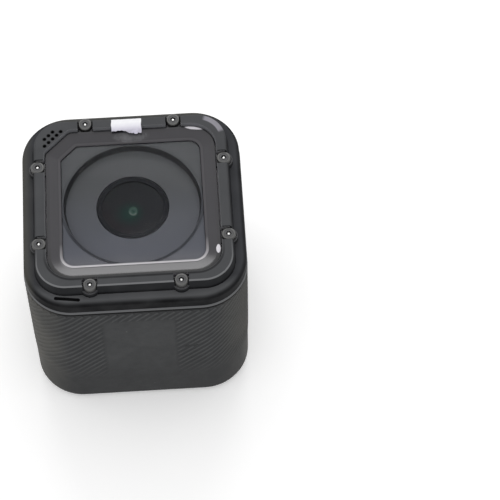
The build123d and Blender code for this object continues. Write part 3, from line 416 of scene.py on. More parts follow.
def frontFinish(name, look):
    material, start = startFinish(name)
    across, up = acrossAxis(start), aboveAxis(start)
    depthIn = (along(start, "Y") - frontFace) / mm
    facing = limit(forward(start), 0.0, 1.0)
    level, upright = limit(facing, 0.9, 0.98), 1 - limit(facing, 0.5, 0.8)
    farther = larger(unsigned(across), unsigned(up))
    together = unsigned(across) + unsigned(up)
    onTop = depthIn < 0.02
    grain = noise(start, look.grain, 2.0, 0.6)
    # painted light and shade by facing: faces of the frame and the ledge pale, their outer walls dark, the
    # lower ledge paler, and warm painted light on the outermost parts
    onLedge = limit(depthIn, look.frameDepth - 0.4, look.frameDepth)
    ledge = mixed(limit(up, *look.ledgeFade), look.ledgeSide, look.ledge)
    outermost = limit(larger(0 - across, up), *look.warmFrom) * look.warmShare
    base = mixed(outermost, mixed(onLedge, look.face, ledge), look.warm)
    wall = mixed(outermost, mixed(onLedge, look.wall, look.wallLow), look.warm)
    base = mixed(facing ** (2.0 + 3.0 * onLedge), wall, base)
    # painted light in the pockets of the screws, lifting the shade of their floors and walls
    inPocket = (depthIn > look.pocketTop) * (depthIn < look.frameDepth - 0.05)
    floor = mixed(depthIn > look.pocketStep, look.pocket, look.pocketFloor)
    base = mixed(level * inPocket, base, floor)
    reach, sumReach = look.pocketReach
    inReach = (farther < reach) * (together < sumReach)
    base = mixed(upright * inPocket * inReach, base, look.pocketWall)
    # painted light on the walls of the opening, and painted shade down the microphone's holes
    within = 1 - limit(farther, look.opening, look.opening + 0.1)
    holes = (across < 0) * (up > 0) * (together > look.holesFrom)
    base = mixed(upright * within, base, mixed(holes, look.inside, look.hole))
    # painted highlights on the rims: the frame's bevelled outer edge, strongest below, the flange's and the
    # opening's
    slanted = span(facing, 0.5, 0.92, 0.1) * (1 - within) * (depthIn < 0.4)
    slanted = slanted * (0.06 + 0.94 * limit(up, *look.rimLow))
    flange = span(depthIn, *look.flangeDepth, 0.1) * (1 - limit(facing, 0.92, 0.96))
    flange = flange * (0.25 + 0.5 * limit(up, *look.flangeLow))
    below = limit(0 - up, *look.below)
    edges = worn(start, 0.22 * mm) * onTop * level * (1 - below) * within * (1 - holes) * 0.6
    base = mixed(larger(slanted + flange, edges), base, look.rim)
    # a painted shadow line round the lower part of the opening, and painted shade round the rims of the holes
    corner = look.openingCorner
    pastSide = larger(unsigned(across) - (look.opening - corner), 0.0)
    pastEnd = larger(unsigned(up) - (look.opening - corner), 0.0)
    fromOpening = apartBy(pastSide, pastEnd) - corner
    nearOpening = (fromOpening > -0.05) * (1 - limit(fromOpening, *look.shadowEnd))
    shadowed = look.shadow * nearOpening * (facing > 0.8) * (depthIn < 0.3) * below
    holeRimShade = worn(start, 0.36 * mm) * onTop * holes
    base = mixed(larger(holeRimShade, shadowed), base, look.hole)
    # a painted reflection in the upper right corner
    middle, radius, halfWidth = look.arc
    du, dv = across - middle, up - middle
    ring = span(apartBy(du, dv), radius - halfWidth, radius + halfWidth, 0.15)
    streak = ring * span(start.maths("ARCTAN2", dv, du), *look.arcTurn, 0.12) * (depthIn < 0.3)
    base = mixed(streak * (0.7 + 0.4 * noise(start, 900, 3.0)), base, look.streak)
    clouds = limit(noise(start, 240, 3.0), 0.3, 0.8) * 0.1
    return painted(material, look, mixed(clouds, base, look.rim), 0.42 + 0.2 * grain, grain)


finishes["front_plastic"] = frontFinish("front_plastic", frontLook)

# Lens plate: fine matte grey, bluer towards its foot, with painted light near its foot, painted shade down
# the wall of its dish, and a painted shade line round the dish
plateLook = Look(
    top=(85, 87, 88), foot=(95, 98, 106), footFade=(4, -9), glow=(124, 124, 127),
    glowFade=(-9, -12.4), wall=(36, 37, 39), dish=(11.4, 11.9), line=(32, 35, 41),
    edge=(11.7, 12.4), grain=9000, depth=0.0025, specular=0.3,
)


def plateFinish(name, look):
    material, start = startFinish(name)
    apart = fromAxis(start)
    grain = noise(start, look.grain, 2.0, 0.6)
    up = aboveAxis(start) + 3 * (noise(start, 90, 3.0) - 0.5)
    base = mixed(limit(up, *look.footFade), look.top, look.foot)
    # painted light, paler towards the foot
    base = mixed(limit(up, *look.glowFade) * 0.8, base, look.glow)
    # a painted shade line round the dish, strongest below
    line = span(apart, *look.edge, 0.12) * (0.25 + 0.65 * limit(0 - up, 0, 6))
    base = mixed(line, base, look.line)
    # painted shade down the wall of the dish
    wall = span(apart, *look.dish, 0.05) * (1 - limit(forward(start), 0.9, 0.98))
    return painted(material, look, mixed(wall, base, look.wall), 0.5 + 0.12 * grain, grain)


finishes["plate_plastic"] = plateFinish("plate_plastic", plateLook)

# Polished bevel round the glass, with a painted highlight on its lip, painted light on its outer wall, a
# painted shadow on its outer land, and painted glints at its outer edge
coverLook = Look(
    dark=(40, 39, 44), light=(49, 47, 52), lip=(170, 167, 171), lipFade=(-7.5, -12),
    side=(170, 170, 174), sideFade=(-8, -13), shadow=(14, 14, 16), shadowFade=(-8, -13),
    haze=(136, 136, 140),
    hazeSpot=(0.2, 13.3, 3.4, 1.2),  # across, up, half width, half height
    flake=(226, 223, 229),
    flakes=((11.45, 14.3, 2.1, 0.44, -0.12), (14.15, -10.3, 0.42, 0.95, 0.08)),  # the same, and a lean
    grain=2600, depth=0.0012, specular=0.6,
)


def bevelFinish(name, look):
    material, start = startFinish(name)
    across, up = acrossAxis(start), aboveAxis(start)
    grain = noise(start, look.grain, 3.0, 0.6)
    lip = marked(start, "lip")
    base = mixed(noise(start, 180, 3.0), look.dark, look.light)
    # a painted highlight on the lip, strongest below
    base = mixed(lip * (0.04 + 0.96 * limit(up, *look.lipFade)), base, look.lip)
    # painted light on the outer wall, strongest below
    side = (1 - limit(forward(start), 0.1, 0.3)) * (1 - lip) * limit(up, *look.sideFade)
    base = mixed(side, base, look.side)
    # a painted shadow on the flat outer land, strongest below
    land = marked(start, "outer") * (0.2 + 0.75 * limit(up, *look.shadowFade))
    base = mixed(land, base, look.shadow)
    # a paler, rougher hazy patch below the tape
    u, v, wide, tall = look.hazeSpot
    du, dv = (across - u) / wide, (up - v) / tall
    haze = (1 - limit(du * du + dv * dv, 0.1, 1.0)) * limit(noise(start, 700, 4.0, 0.7), 0.3, 0.6)
    base = mixed(haze * 0.4, base, look.haze)
    # painted glints at the outer edge
    for u, v, wide, tall, lean in look.flakes:
        du, dv = across - u, up - v
        dv = dv - lean * du
        near = du * du / wide ** 2 + dv * dv / tall ** 2 + 0.5 * noise(start, 900, 3.0)
        base = mixed(1 - limit(near, 0.85, 1.1), base, look.flake)
    return painted(material, look, base, 0.16 + 0.08 * grain + 0.3 * haze, grain)


finishes["cover_plastic"] = bevelFinish("cover_plastic", coverLook)

# Bare metals
metalLooks = {
    "screw_steel": Look(
        dark=(104, 104, 105), light=(128, 128, 129), worn=(214, 214, 214),
        grain=2400, depth=0.004, rough=(0.28, 0.44), stretch=(1, 6, 1),
    ),
    "shell_steel": Look(
        dark=(180, 180, 180), light=(204, 204, 203), worn=(228, 228, 228),
        grain=1500, depth=0.003, rough=(0.22, 0.36), stretch=(1, 1, 9),
    ),
    "black_aluminium": Look(
        dark=(33, 34, 36), light=(38, 39, 41), worn=(48, 49, 51),
        grain=7000, depth=0.004, rough=(0.4, 0.5), stretch=(1, 1, 1),
    ),
    "bare_aluminium": Look(
        dark=(186, 186, 188), light=(204, 204, 206), worn=(228, 228, 228),
        grain=5600, depth=0.008, rough=(0.42, 0.55), stretch=(1, 1, 1),
    ),
    "cell_foil": Look(
        dark=(176, 178, 182), light=(200, 202, 205), worn=(228, 228, 228),
        grain=700, depth=0.02, rough=(0.25, 0.4), stretch=(1, 1, 1),
    ),
}


def metalFinish(name, look):
    material, start = startFinish(name)
    grain = noise(start, look.grain, 3.0, 0.6, look.stretch)
    low, high = look.rough
    base = mixed(noise(start, 400, 2.0), look.dark, look.light)
    base = mixed(worn(start, 0.08 * mm) * 0.4, base, look.worn)
    return painted(material, look, base, low + (high - low) * grain, grain, metallic=1.0)


for name, look in metalLooks.items():
    finishes[name] = metalFinish(name, look)

# Blackened heads of the cover screws: a paler ring, a painted highlight, round a dark dish, and a pin in the
# socket painted near white as a painted glint
headLook = Look(
    dish=(84, 84, 85), ring=(102, 102, 101), pin=(226, 226, 224), grain=2400, depth=0.004,
)


def headFinish(name, look):
    material, start = startFinish(name)
    grain = noise(start, look.grain, 3.0, 0.6)
    pin = marked(start, "pin")
    # a painted highlight on the ring, broken by noise
    ring = marked(start, "ring") * (0.55 + 0.45 * noise(start, 700, 2.0))
    base = mixed(ring, look.dish, look.ring)
    # a painted glint on the pin
    base = mixed(pin, base, look.pin)
    return painted(material, look, base, 0.42 + 0.16 * grain - 0.25 * pin, grain, metallic=1.0)


headSteel = headFinish("headSteel", headLook)

# Glossy films, resins and laminates
filmLooks = {
    "board_laminate": Look(dark=(22, 78, 50), light=(32, 98, 62), scale=900, rough=(0.28, 0.42), coat=0.4),
    "flex_film": Look(dark=(170, 100, 26), light=(190, 118, 36), scale=1200, rough=(0.25, 0.35), coat=0.5),
    "display_film": Look(dark=(126, 132, 122), light=(136, 142, 131), scale=1500, rough=(0.3, 0.4), coat=0.2),
    "clear_plastic": Look(dark=(22, 24, 26), light=(28, 30, 33), scale=500, rough=(0.08, 0.16), coat=1.0),
    "filter_glass": Look(dark=(70, 110, 118), light=(84, 126, 132), scale=500, rough=(0.05, 0.1), coat=1.0),
    "tape_film": Look(dark=(196, 194, 210), light=(222, 220, 232), scale=420, rough=(0.25, 0.4), coat=0.5),
}


def filmFinish(name, look):
    material, start = startFinish(name)
    clouds = limit(noise(start, look.scale, 4.0, 0.6), 0.3, 0.7)
    base = mixed(clouds, look.dark, look.light)
    low, high = look.rough
    roughness = low + (high - low) * noise(start, 3000, 2.0)
    return painted(material, look, base, roughness, noise(start, look.scale * 2, 3.0))


for name, look in filmLooks.items():
    finishes[name] = filmFinish(name, Look(look, depth=0.003))

# Coated glass: mostly clear, with a faint gloss that grows at a slant
coverGlassLook = Look(tint=(0.97, 0.97, 0.98, 1), mirror=0.05, specular=0.6)
lensGlassLook = Look(tint=(0.94, 0.95, 0.95, 1), mirror=0.1, specular=0.6)


def glassFinish(name, look):
    material, start = startFinish(name)
    smear = noise(start, 160, 4.0, 0.6)
    painted(material, look, mixed(smear, (8, 9, 10), (14, 15, 16)), 0.03 + 0.05 * smear)
    clear = start.node("BsdfTransparent", inputs={0: look.tint})
    slant = start.node("LayerWeight", inputs={"Blend": 0.35}, output=1)
    share = look.mirror + 0.5 * slant ** 3.0 + 0.012 * limit(smear, 0.5, 0.8)
    showMix(material, share, clear, None)
    return material


finishes["clear_glass"] = glassFinish("clear_glass", coverGlassLook)
lensGlass = glassFinish("lensGlass", lensGlassLook)

# The light's window in the slot, unlit
darkLightLook = Look(
    dark=(8, 8, 9), light=(14, 14, 15), edge=(20, 20, 21), wear=0.1,
    grain=4000, depth=0.002, rough=(0.5, 0.6), specular=0.05,
)
darkLight = mouldedFinish("darkLight", darkLightLook)

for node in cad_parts.values():
    for slot in node.material_slots:
        slot.material = finishes[slot.material.name]
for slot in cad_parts["light_guide"].material_slots:
    slot.material = darkLight
print("finishes made:", len(finishes))


# How pieces are made

def editing(wanted):
    bpy.ops.object.mode_set(mode="EDIT" if wanted else "OBJECT")


def selectAll(wanted):
    bpy.ops.mesh.select_all(action="SELECT" if wanted else "DESELECT")


def clearSelection():
    bpy.ops.object.select_all(action="DESELECT")


def pick(piece):
    clearSelection()
    piece.select_set(True)
    bpy.context.view_layer.objects.active = piece


def addObject(name, data):
    made = bpy.data.objects.new(name, data)
    bpy.context.scene.collection.objects.link(made)
    return made


def startPiece(name, add, **settings):
    # a piece that starts as one of the mesh primitives
    clearSelection()
    add(**settings)
    piece = bpy.context.object
    piece.name = name
    return piece


def solidCopy(node, name):
    # a merged copy of a solid, for a piece that refines it
    piece = addObject(name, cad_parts[node].data.copy())
    pick(piece)
    editing(True)
    selectAll(True)
    bpy.ops.mesh.remove_doubles(threshold=0.002 * mm)
    bpy.ops.mesh.customdata_custom_splitnormals_clear()
    editing(False)
    return piece


def settle(piece, body, slot, *nodes, finish=None, smooth=32):
    # gives a piece its shading, its finish (the slot's, unless one is given) and its body, and hides the
    # solids that it takes the place of
    pick(piece)
    bpy.ops.object.transform_apply()
    bpy.ops.object.shade_smooth_by_angle(angle=math.radians(smooth))
    piece.data.materials.clear()
    piece.data.materials.append(finish or finishes[slot])
    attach(piece, body)
    if nodes:
        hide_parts(*nodes)


def joined(name, parts):
    clearSelection()
    for part in parts:
        part.select_set(True)
    bpy.context.view_layer.objects.active = parts[0]
    bpy.ops.object.join()
    parts[0].name = name
    return parts[0]


def mark(piece, name, shareAt):
    # stores a share from 0 to 1 at each point of a piece, for its finish
    stored = piece.data.attributes.new(name, "FLOAT", "POINT")
    for n, vertex in enumerate(piece.data.vertices):
        stored.data[n].value = shareAt(vertex.co)


def selectLevel(piece, steep, lowest=None):
    # in edit mode: the faces that look up, above a height
    mesh = bmesh.from_edit_mesh(piece.data)
    bpy.ops.mesh.select_mode(type="FACE")
    selectAll(False)
    for face in mesh.faces:
        high = lowest is None or face.calc_center_median().z > lowest
        face.select = face.normal.z > steep and high


def selectLoop(mesh, loop):
    selectAll(False)
    mesh.verts.ensure_lookup_table()
    for spot in loop:
        mesh.verts[spot].select = True
    mesh.select_flush(True)


def drawRings(name, rings, bridged=False):
    # draws a closed outline out from ring to ring, then bridges its two ends, or caps both
    piece = startPiece(name, bpy.ops.mesh.primitive_circle_add, vertices=len(rings[0]))
    for vertex, spot in zip(piece.data.vertices, rings[0]):
        vertex.co = spot
    editing(True)
    bpy.ops.mesh.select_mode(type="VERT")
    selectAll(True)
    mesh = bmesh.from_edit_mesh(piece.data)
    first = last = [vertex.index for vertex in mesh.verts]
    for ring in rings[1:]:
        bpy.ops.mesh.extrude_region()
        mesh = bmesh.from_edit_mesh(piece.data)
        mesh.verts.ensure_lookup_table()
        mesh.verts.index_update()
        drawn = []
        for spot, target in zip(last, ring):
            old = mesh.verts[spot]
            ends = [edge.other_vert(old) for edge in old.link_edges]
            new = next(vertex for vertex in ends if vertex.select)
            new.co = target
            drawn.append(new.index)
        last = drawn
    if bridged:
        selectLoop(mesh, first + last)
        bpy.ops.mesh.bridge_edge_loops()
    else:
        for loop in (first, last):
            selectLoop(mesh, loop)
            bpy.ops.mesh.edge_face_add()
    selectAll(True)
    bpy.ops.mesh.normals_make_consistent(inside=False)
    editing(False)
    return piece


def circlePoints(radius, out, count):
    turns = [2 * math.pi * n / count for n in range(count)]
    return [fromLens(radius * math.cos(turn), radius * math.sin(turn), out) for turn in turns]


def clippedOutline(side, corner, cut, lift=0.0, steps=8):
    # a rounded square as (across, up) points, its upper left corner cut off and its lower side lifted
    edge, small = side / 2, corner / 4
    bends = [
        ((cut - edge, edge), small),
        ((-edge, edge - cut), small),
        ((-edge, -edge), corner),
        ((edge, -edge), corner),
        ((edge, edge), corner),
    ]
    points = []
    for n, (spot, radius) in enumerate(bends):
        spot = Vector(spot)
        back = (Vector(bends[n - 1][0]) - spot).normalized()
        ahead = (Vector(bends[(n + 1) % len(bends)][0]) - spot).normalized()
        halfAngle = back.angle(ahead) / 2
        centre = spot + (back + ahead).normalized() * radius / math.sin(halfAngle)
        start = spot + back * radius / math.tan(halfAngle) - centre
        end = spot + ahead * radius / math.tan(halfAngle) - centre
        turn = start.angle_signed(end)
        for step in range(steps + 1):
            spot = centre + Matrix.Rotation(-turn * step / steps, 2) @ start
            points.append(Vector((spot.x, spot.y + lift if spot.y < 0 else spot.y)))
    return points


def raised(outline, out):
    return [fromLens(spot[0], spot[1], out) for spot in outline]


def between(first, second, share):
    return [a + (b - a) * share for a, b in zip(first, second)]


def rise(value, low, high):
    part = min(1.0, max(0.0, (value - low) / (high - low)))
    return part * part * (3 - 2 * part)


# Rubber sleeve and side door, with their slanting ribs
flatHalf = (half - bodyCorner) / mm
cornerRun = bodyCorner / mm * math.pi / 2


def onBody(around, deep, out):
    # a point on the body: millimetres round from the middle of the base, forward of the back, and outwards
    side = 1 if around >= 0 else -1
    run, corner = abs(around), bodyCorner / mm
    if run <= flatHalf:
        x, z, nx, nz = run, -half / mm, 0, -1
    elif run <= flatHalf + cornerRun:
        turn = (run - flatHalf) / corner
        nx, nz = math.sin(turn), -math.cos(turn)
        x, z = flatHalf + corner * nx, -flatHalf + corner * nz
    elif run <= 3 * flatHalf + cornerRun:
        x, z, nx, nz = half / mm, run - 2 * flatHalf - cornerRun, 1, 0
    else:
        turn = (run - 3 * flatHalf - cornerRun) / corner
        nx, nz = math.cos(turn), math.sin(turn)
        x, z = flatHalf + corner * nx, flatHalf + corner * nz
    return fromLens(side * (x + nx * out), z + nz * out, deep)


def sleeveRib(around, deep):
    # how high the sleeve's ribs stand here, from 0 to 1
    look = ribLook
    if deep > look.frontEnd:
        return 0.0
    high = rise(deep, *look.backFade) * (1 - rise(abs(around), *look.topFade))
    wide, low, top = look.patch
    apart = max(abs(around) - wide, low - deep, deep - top)
    high *= rise(apart, 0.0, 0.5)
    up = around - 2 * flatHalf - cornerRun
    low, top, back, front = look.doorRoom
    if around > 0 and low < up < top and back < deep < front:
        return 0.0
    return high


def doorRib(around, deep):
    # 1 on the ribbed part of the door, which is rounded above and leaves the latch's room bare
    low, top, back, front = ribLook.doorRibs
    up = around - 2 * flatHalf - cornerRun
    if around < 0 or not (low < up < top and back < deep < front):
        return 0.0
    latchLow, latchBack, latchFront = ribLook.latchRoom
    if up > latchLow and latchBack < deep < latchFront:
        return 0.0
    corner = ribLook.doorCorner
    lean = max(back + corner - deep, deep - front + corner, 0), max(up - top + corner, 0)
    return 1.0 if math.hypot(*lean) < corner else 0.0


def ribRuns(heightAt):
    # each slanting line's stretches that stand up, as (line, from, to)
    runs = []
    back, front, stride, least = ribLook.walk
    # the lines slant forward and round, so more of them start on the far side
    count = int(ribLook.lineReach / ribLook.pitch)
    for n in range(-count - ribLook.moreLines, count + 1):
        line = n * ribLook.pitch
        deep, start = back, None
        while deep < front:
            standing = heightAt(line + deep, deep) > 0.03
            if standing and start is None:
                start = deep
            if not standing and start is not None:
                if deep - start > least:
                    runs.append((line, start, deep - stride))
                start = None
            deep += stride
    return runs


def makeRib(name, line, start, end, heightAt):
    # one long bar, narrowed at the top, cut along its length and laid on its line
    rib = startPiece(name, bpy.ops.mesh.primitive_cube_add, size=1)
    editing(True)
    selectLevel(rib, 0.9)
    bpy.ops.transform.resize(value=(1, ribLook.crown, 1))
    mesh = bmesh.from_edit_mesh(rib.data)
    bpy.ops.mesh.select_mode(type="EDGE")
    selectAll(False)
    for edge in mesh.edges:
        edge.select = abs(edge.verts[0].co.x - edge.verts[1].co.x) > 0.5
    cuts = max(2, round((end - start) / ribLook.step))
    bpy.ops.mesh.subdivide(number_cuts=cuts)
    editing(False)
    crown = rib.data.attributes.new("crown", "FLOAT", "POINT")
    height, root, sunk = ribLook.height, ribLook.root, ribLook.sunk
    for n, vertex in enumerate(rib.data.vertices):
        x, y, z = vertex.co
        deep = start + (end - start) * (x + 0.5)
        sideways = y * ribLook.width / math.sqrt(2)
        high = heightAt(line + deep, deep)
        out = -height - root if z < 0 else -height - sunk + (height + sunk) * high
        vertex.co = onBody(line + deep + sideways, deep - sideways, out)
        crown.data[n].value = high if z > 0 else 0.0
    return rib


def sinkSkin(piece, depth):
    # takes the skin in by the height of the ribs, so that the ribs reach the full size
    skin, bend, backEdge = ribLook.skin
    for vertex in piece.data.vertices:
        across, up = vertex.co.x, vertex.co.z - axisHeight
        deep = (backFace - vertex.co.y) / mm
        dx, dz = max(abs(across) - flatHalf * mm, 0), max(abs(up) - flatHalf * mm, 0)
        reach = math.hypot(dx, dz)
        below = (bodyCorner - reach) / mm
        if below < skin or (deep < backEdge and below < bend):
            share = depth * (1 - rise(below, skin, bend))
            vertex.co.x -= math.copysign(dx / reach, across) * share
            vertex.co.z -= math.copysign(dz / reach, up) * share


def ribbedPiece(name, node, body, slot, heightAt):
    skin = solidCopy(node, name)
    skin.data.attributes.new("crown", "FLOAT", "POINT")
    sinkSkin(skin, ribLook.height * mm)
    ribs = [makeRib(f"{name}_{n}", *run, heightAt) for n, run in enumerate(ribRuns(heightAt))]
    for rib in ribs:
        pick(rib)
        bpy.ops.object.shade_smooth_by_angle(angle=math.radians(32))
    settle(joined(name, [skin, *ribs]), body, slot, node)
    print(name, "ribs:", len(ribs))


ribbedPiece("ribbedSleeve", "rubber_sleeve", "camera", "sleeve_rubber", sleeveRib)
ribbedPiece("ribbedDoor", "side_door", "door", "door_plastic", doorRib)

# Cover: a dished bevel with an ear under each screw; millimetres, heights from the back face
coverShape = Look(
    outer=(29.3, 4.3, 4.18),  # side, corner, cut
    inner=(24.1, 2.0, 2.7, 0.3),  # and lift of the lower side
    seat=34.6, rim=35.7, rimEdge=0.07,
    land=0.19,  # of the bevel's width, flat at its outer edge
    foot=35.3,
    curve=1.25,  # above 1 the bevel is steeper at its outer edge
    steps=7, lip=0.28,
    lipShare=0.17,  # of the bevel's width
    lipSteps=6,
)
earShape = Look(radius=1.25, reach=1.7, middle=34.9, thick=0.6, edge=0.05)
screwSpots = [(side * 7.65, end * 16.04) for end in (1, -1) for side in (1, -1)]
screwSpots += [(end * 16.04, side * 7.65) for end in (1, -1) for side in (1, -1)]


def toScrew(piece, across, up):
    # lays a piece drawn upright, its outer end up, on a screw's axis, with its own up side away from the lens
    if abs(up) > abs(across):
        turn = 0 if up > 0 else math.pi
    else:
        turn = -math.pi / 2 if across > 0 else math.pi / 2
    lay = Matrix.Rotation(math.pi / 2, 4, "X")
    piece.data.transform(Matrix.Translation(fromLens(across, up, 0)) @ Matrix.Rotation(-turn, 4, "Y") @ lay)


def copiesAtScrews(name, piece):
    copies = []
    for n, spot in enumerate(screwSpots):
        copy = addObject(f"{name}_{n}", piece.data.copy())
        toScrew(copy, *spot)
        copies.append(copy)
    bpy.data.objects.remove(piece)
    return copies


def addCylinder(radius, tall, middle, sides):
    # an upright cylinder in millimetres, with its place in its mesh
    sizes = dict(radius=radius * mm, depth=tall * mm, location=(0, 0, middle * mm))
    made = startPiece("cylinder", bpy.ops.mesh.primitive_cylinder_add, vertices=sides, **sizes)
    bpy.ops.object.transform_apply()
    return made


def makeEar(look):
    ear = addCylinder(look.radius, look.thick, look.middle, 28)
    for vertex in ear.data.vertices:
        if vertex.co.y < -0.1 * mm:
            vertex.co.y = -look.reach * mm
    pick(ear)
    editing(True)
    selectAll(True)
    bpy.ops.mesh.bevel(offset=look.edge * mm, segments=2)
    editing(False)
    return ear


def makeCover(look):
    outer, inner = clippedOutline(*look.outer), clippedOutline(*look.inner)
    rim, foot, lip = look.rim, look.foot, look.lip
    rings = [
        raised(outer, look.seat),
        raised(outer, rim - look.rimEdge),
        raised(between(outer, inner, 0.02), rim),
    ]
    for step in range(look.steps + 1):
        share = look.land + (0.96 - look.land - look.lipShare) * step / look.steps
        drop = 1 - ((1 - share) / (1 - look.land)) ** look.curve
        rings.append(raised(between(outer, inner, share), rim - (rim - foot) * drop))
    for step in range(look.lipSteps + 1):
        turn = math.radians(90 * step / look.lipSteps)
        share = 1 - (1 - math.sin(turn)) * look.lipShare
        rings.append(raised(between(outer, inner, share), foot - lip + lip * math.cos(turn)))
    rings.append(raised(inner, look.seat))
    bevel = drawRings("coverBevel", rings, bridged=True)
    mark(bevel, "lip", lambda spot: foot - lip < (backFace - spot.y) / mm < foot + 0.001)
    mark(bevel, "outer", lambda spot: (backFace - spot.y) / mm > rim - 0.03)
    ears = copiesAtScrews("ear", makeEar(earShape))
    settle(joined("coverBevel", [bevel, *ears]), "camera", "cover_plastic", "cover_frame")


makeCover(coverShape)

glassShape = Look(side=24.0, corner=2.0, cut=2.7, lift=0.3, back=34.94, front=35.26, edge=0.12, edgeCut=0.04)


def makeGlass(look):
    back, front, edge = look.back, look.front, look.edge
    outline = clippedOutline(look.side, look.corner, look.cut, look.lift)
    smaller = clippedOutline(
        look.side - 2 * edge, look.corner - edge, look.cut - look.edgeCut, look.lift
    )
    rings = [
        raised(smaller, back),
        raised(outline, back + edge / 2),
        raised(outline, front - edge),
        raised(between(outline, smaller, 0.4), front - edge * 0.3),
        raised(smaller, front),
    ]
    settle(drawRings("coverWindow", rings), "camera", "clear_glass", "cover_glass")


makeGlass(glassShape)

screwShape = Look(
    radius=1.18, seat=35.2, head=0.85, edge=0.2,
    ring=0.12,  # flat ring round the dish
    dish=(0.1, 0.07),  # width of its wall, and depth
    socket=0.5, lobes=6, lobeDepth=0.16, deep=0.3, pin=0.24, pinRise=0.24, pinEdge=0.1,
)


def makeScrew(look):
    # a low head with a rounded edge, a shallow dish, a six-lobed socket and a pin in its middle
    top = look.seat + look.head
    flat = look.radius - look.edge
    dishWide, dishDeep = look.dish
    screw = addCylinder(look.radius, look.head, top - look.head / 2, 36)
    editing(True)
    selectLevel(screw, 0.9)
    bpy.ops.mesh.bevel(offset=look.edge * mm, segments=4)
    selectLevel(screw, 0.99, (top - 0.01) * mm)
    bpy.ops.mesh.inset(thickness=look.ring * mm)
    bpy.ops.mesh.inset(thickness=dishWide * mm, depth=-dishDeep * mm)
    bpy.ops.mesh.inset(thickness=(flat - look.ring - dishWide - look.socket) * mm)
    # the socket's rim waves in and out, which makes its lobes
    mesh = bmesh.from_edit_mesh(screw.data)
    rim = next(face for face in mesh.faces if face.select)
    for vertex in rim.verts:
        wave = math.cos(look.lobes * math.atan2(vertex.co.y, vertex.co.x))
        pull = 1 - look.lobeDepth * (0.5 + 0.5 * wave)
        vertex.co.x *= pull
        vertex.co.y *= pull
    bpy.ops.mesh.extrude_region_move(TRANSFORM_OT_translate={"value": (0, 0, -look.deep * mm)})
    editing(False)
    pinFoot = top - dishDeep - look.deep - 0.02
    pin = addCylinder(look.pin, look.pinRise, pinFoot + look.pinRise / 2, 20)
    pinTop = max(vertex.co.z for vertex in pin.data.vertices)
    editing(True)
    selectLevel(pin, 0.9)
    bpy.ops.mesh.bevel(offset=look.pinEdge * mm, segments=3)
    editing(False)
    mark(screw, "ring", lambda spot: math.hypot(spot.x, spot.y) / mm > flat - 0.15)
    mark(pin, "pin", lambda spot: spot.z > pinTop - 0.12 * mm)
    return joined("screw", [screw, pin])


screws = copiesAtScrews("screw", makeScrew(screwShape))
settle(joined("coverScrews", screws), "camera", "screw_steel", "cover_screws", finish=headSteel)
print("cover, window and screws made")

# Lens: a clear dome over a coated core, whose colours are painted reflections and a painted glint
lensShape = Look(
    radius=5.7, rim=33.46, apex=33.58, back=33.42,
    coreShare=0.993,  # of the radius
    coreRim=33.38, coreApex=32.4, coreBack=31.6, rings=9, sides=72,
)
coreLook = Look(
    left=(62, 63, 65), right=(66, 67, 71), warm=(68, 61, 65), rim=(74, 76, 80), glow=(42, 90, 80),
    spark=(104, 138, 124), sparkRadius=0.82, middle=(70, 104, 94), crescent=(158, 176, 166),
    grain=2600, specular=0.1,
)


def makeDome(name, radius, rim, apex, back):
    # a shallow dome drawn ring by ring from its flat back over its rim; a lower apex makes it a dish
    rings, sides = lensShape.rings, lensShape.sides
    drawn = [
        circlePoints(radius * 0.9, back, sides),
        circlePoints(radius, back + 0.02, sides),
        circlePoints(radius, rim, sides),
    ]
    for step in range(1, rings):
        share = step / rings
        out = rim + (apex - rim) * (1 - (1 - share) ** 2)
        drawn.append(circlePoints(radius * (1 - share), out, sides))
    return drawRings(name, drawn)


def coreFinish(name, look):
    material, start = startFinish(name)
    across, up, apart = acrossAxis(start), aboveAxis(start), fromAxis(start)
    # painted reflections across the core: a little paler and bluer to the right, warm painted light to the
    # lower left, and a paler rim below
    base = mixed(limit(across, -2, 5), look.left, look.right)
    base = mixed(limit(0 - across - up, 2.5, 6.5) * 0.7, base, look.warm)
    base = mixed(limit(apart, 4.6, 5.5) * limit(0 - up, 2.5, 5.5) * 0.7, base, look.rim)
    # a painted reflection, a coloured glow in the middle, and a painted glint, the spark, with a pale
    # crescent in it
    uneven = apart + 0.5 * noise(start, 700, 2.0) + 0.25 * (across + up)
    base = mixed((1 - limit(uneven, 0.5, 3.0)) ** 1.5, base, look.glow)
    tall = start.maths("SQRT", across * across + up * up / 1.4)  # the spark is a little taller than wide
    edge = look.sparkRadius
    spark = 1 - limit(tall + 0.15 * noise(start, 1500, 2.0), edge - 0.15, edge + 0.12)
    base = mixed(spark, base, mixed(limit(tall, 0.12, 0.45), look.middle, look.spark))
    crescent = span(tall, 0.38, 0.86, 0.2) * limit(0 - up - 0.3 * across, 0.05, 0.4)
    base = mixed(crescent * 0.8, base, look.crescent)
    return painted(material, look, base, 0.3 + 0.2 * noise(start, look.grain, 2.0))


def makeLens(look):
    coreRadius = look.radius * look.coreShare
    core = makeDome("lensCore", coreRadius, look.coreRim, look.coreApex, look.coreBack)
    settle(core, "camera", "clear_glass", finish=coreFinish("lensCore", coreLook))
    dome = makeDome("lensDome", look.radius, look.rim, look.apex, look.back)
    settle(dome, "camera", "clear_glass", "front_element", finish=lensGlass)


makeLens(lensShape)
print("lens made")

# Seal tape: a torn strip that laps over the cover's gap
tapeShape = Look(
    left=-3.1, right=2.1, top=16.35, foot=14.12,
    tail=13.5,  # the torn end hangs lower on the right
    out=36.42, thick=0.05, sagFrom=14.85, sag=0.28, cuts=(60, 24),
)
tapeLook = Look(
    high=(246, 246, 249), low=(206, 202, 220), lowFade=(13.9, 15.6), stain=(160, 158, 168),
    stainFade=(13.9, 14.5), grain=1400, depth=0.004, coat=0.3,
)


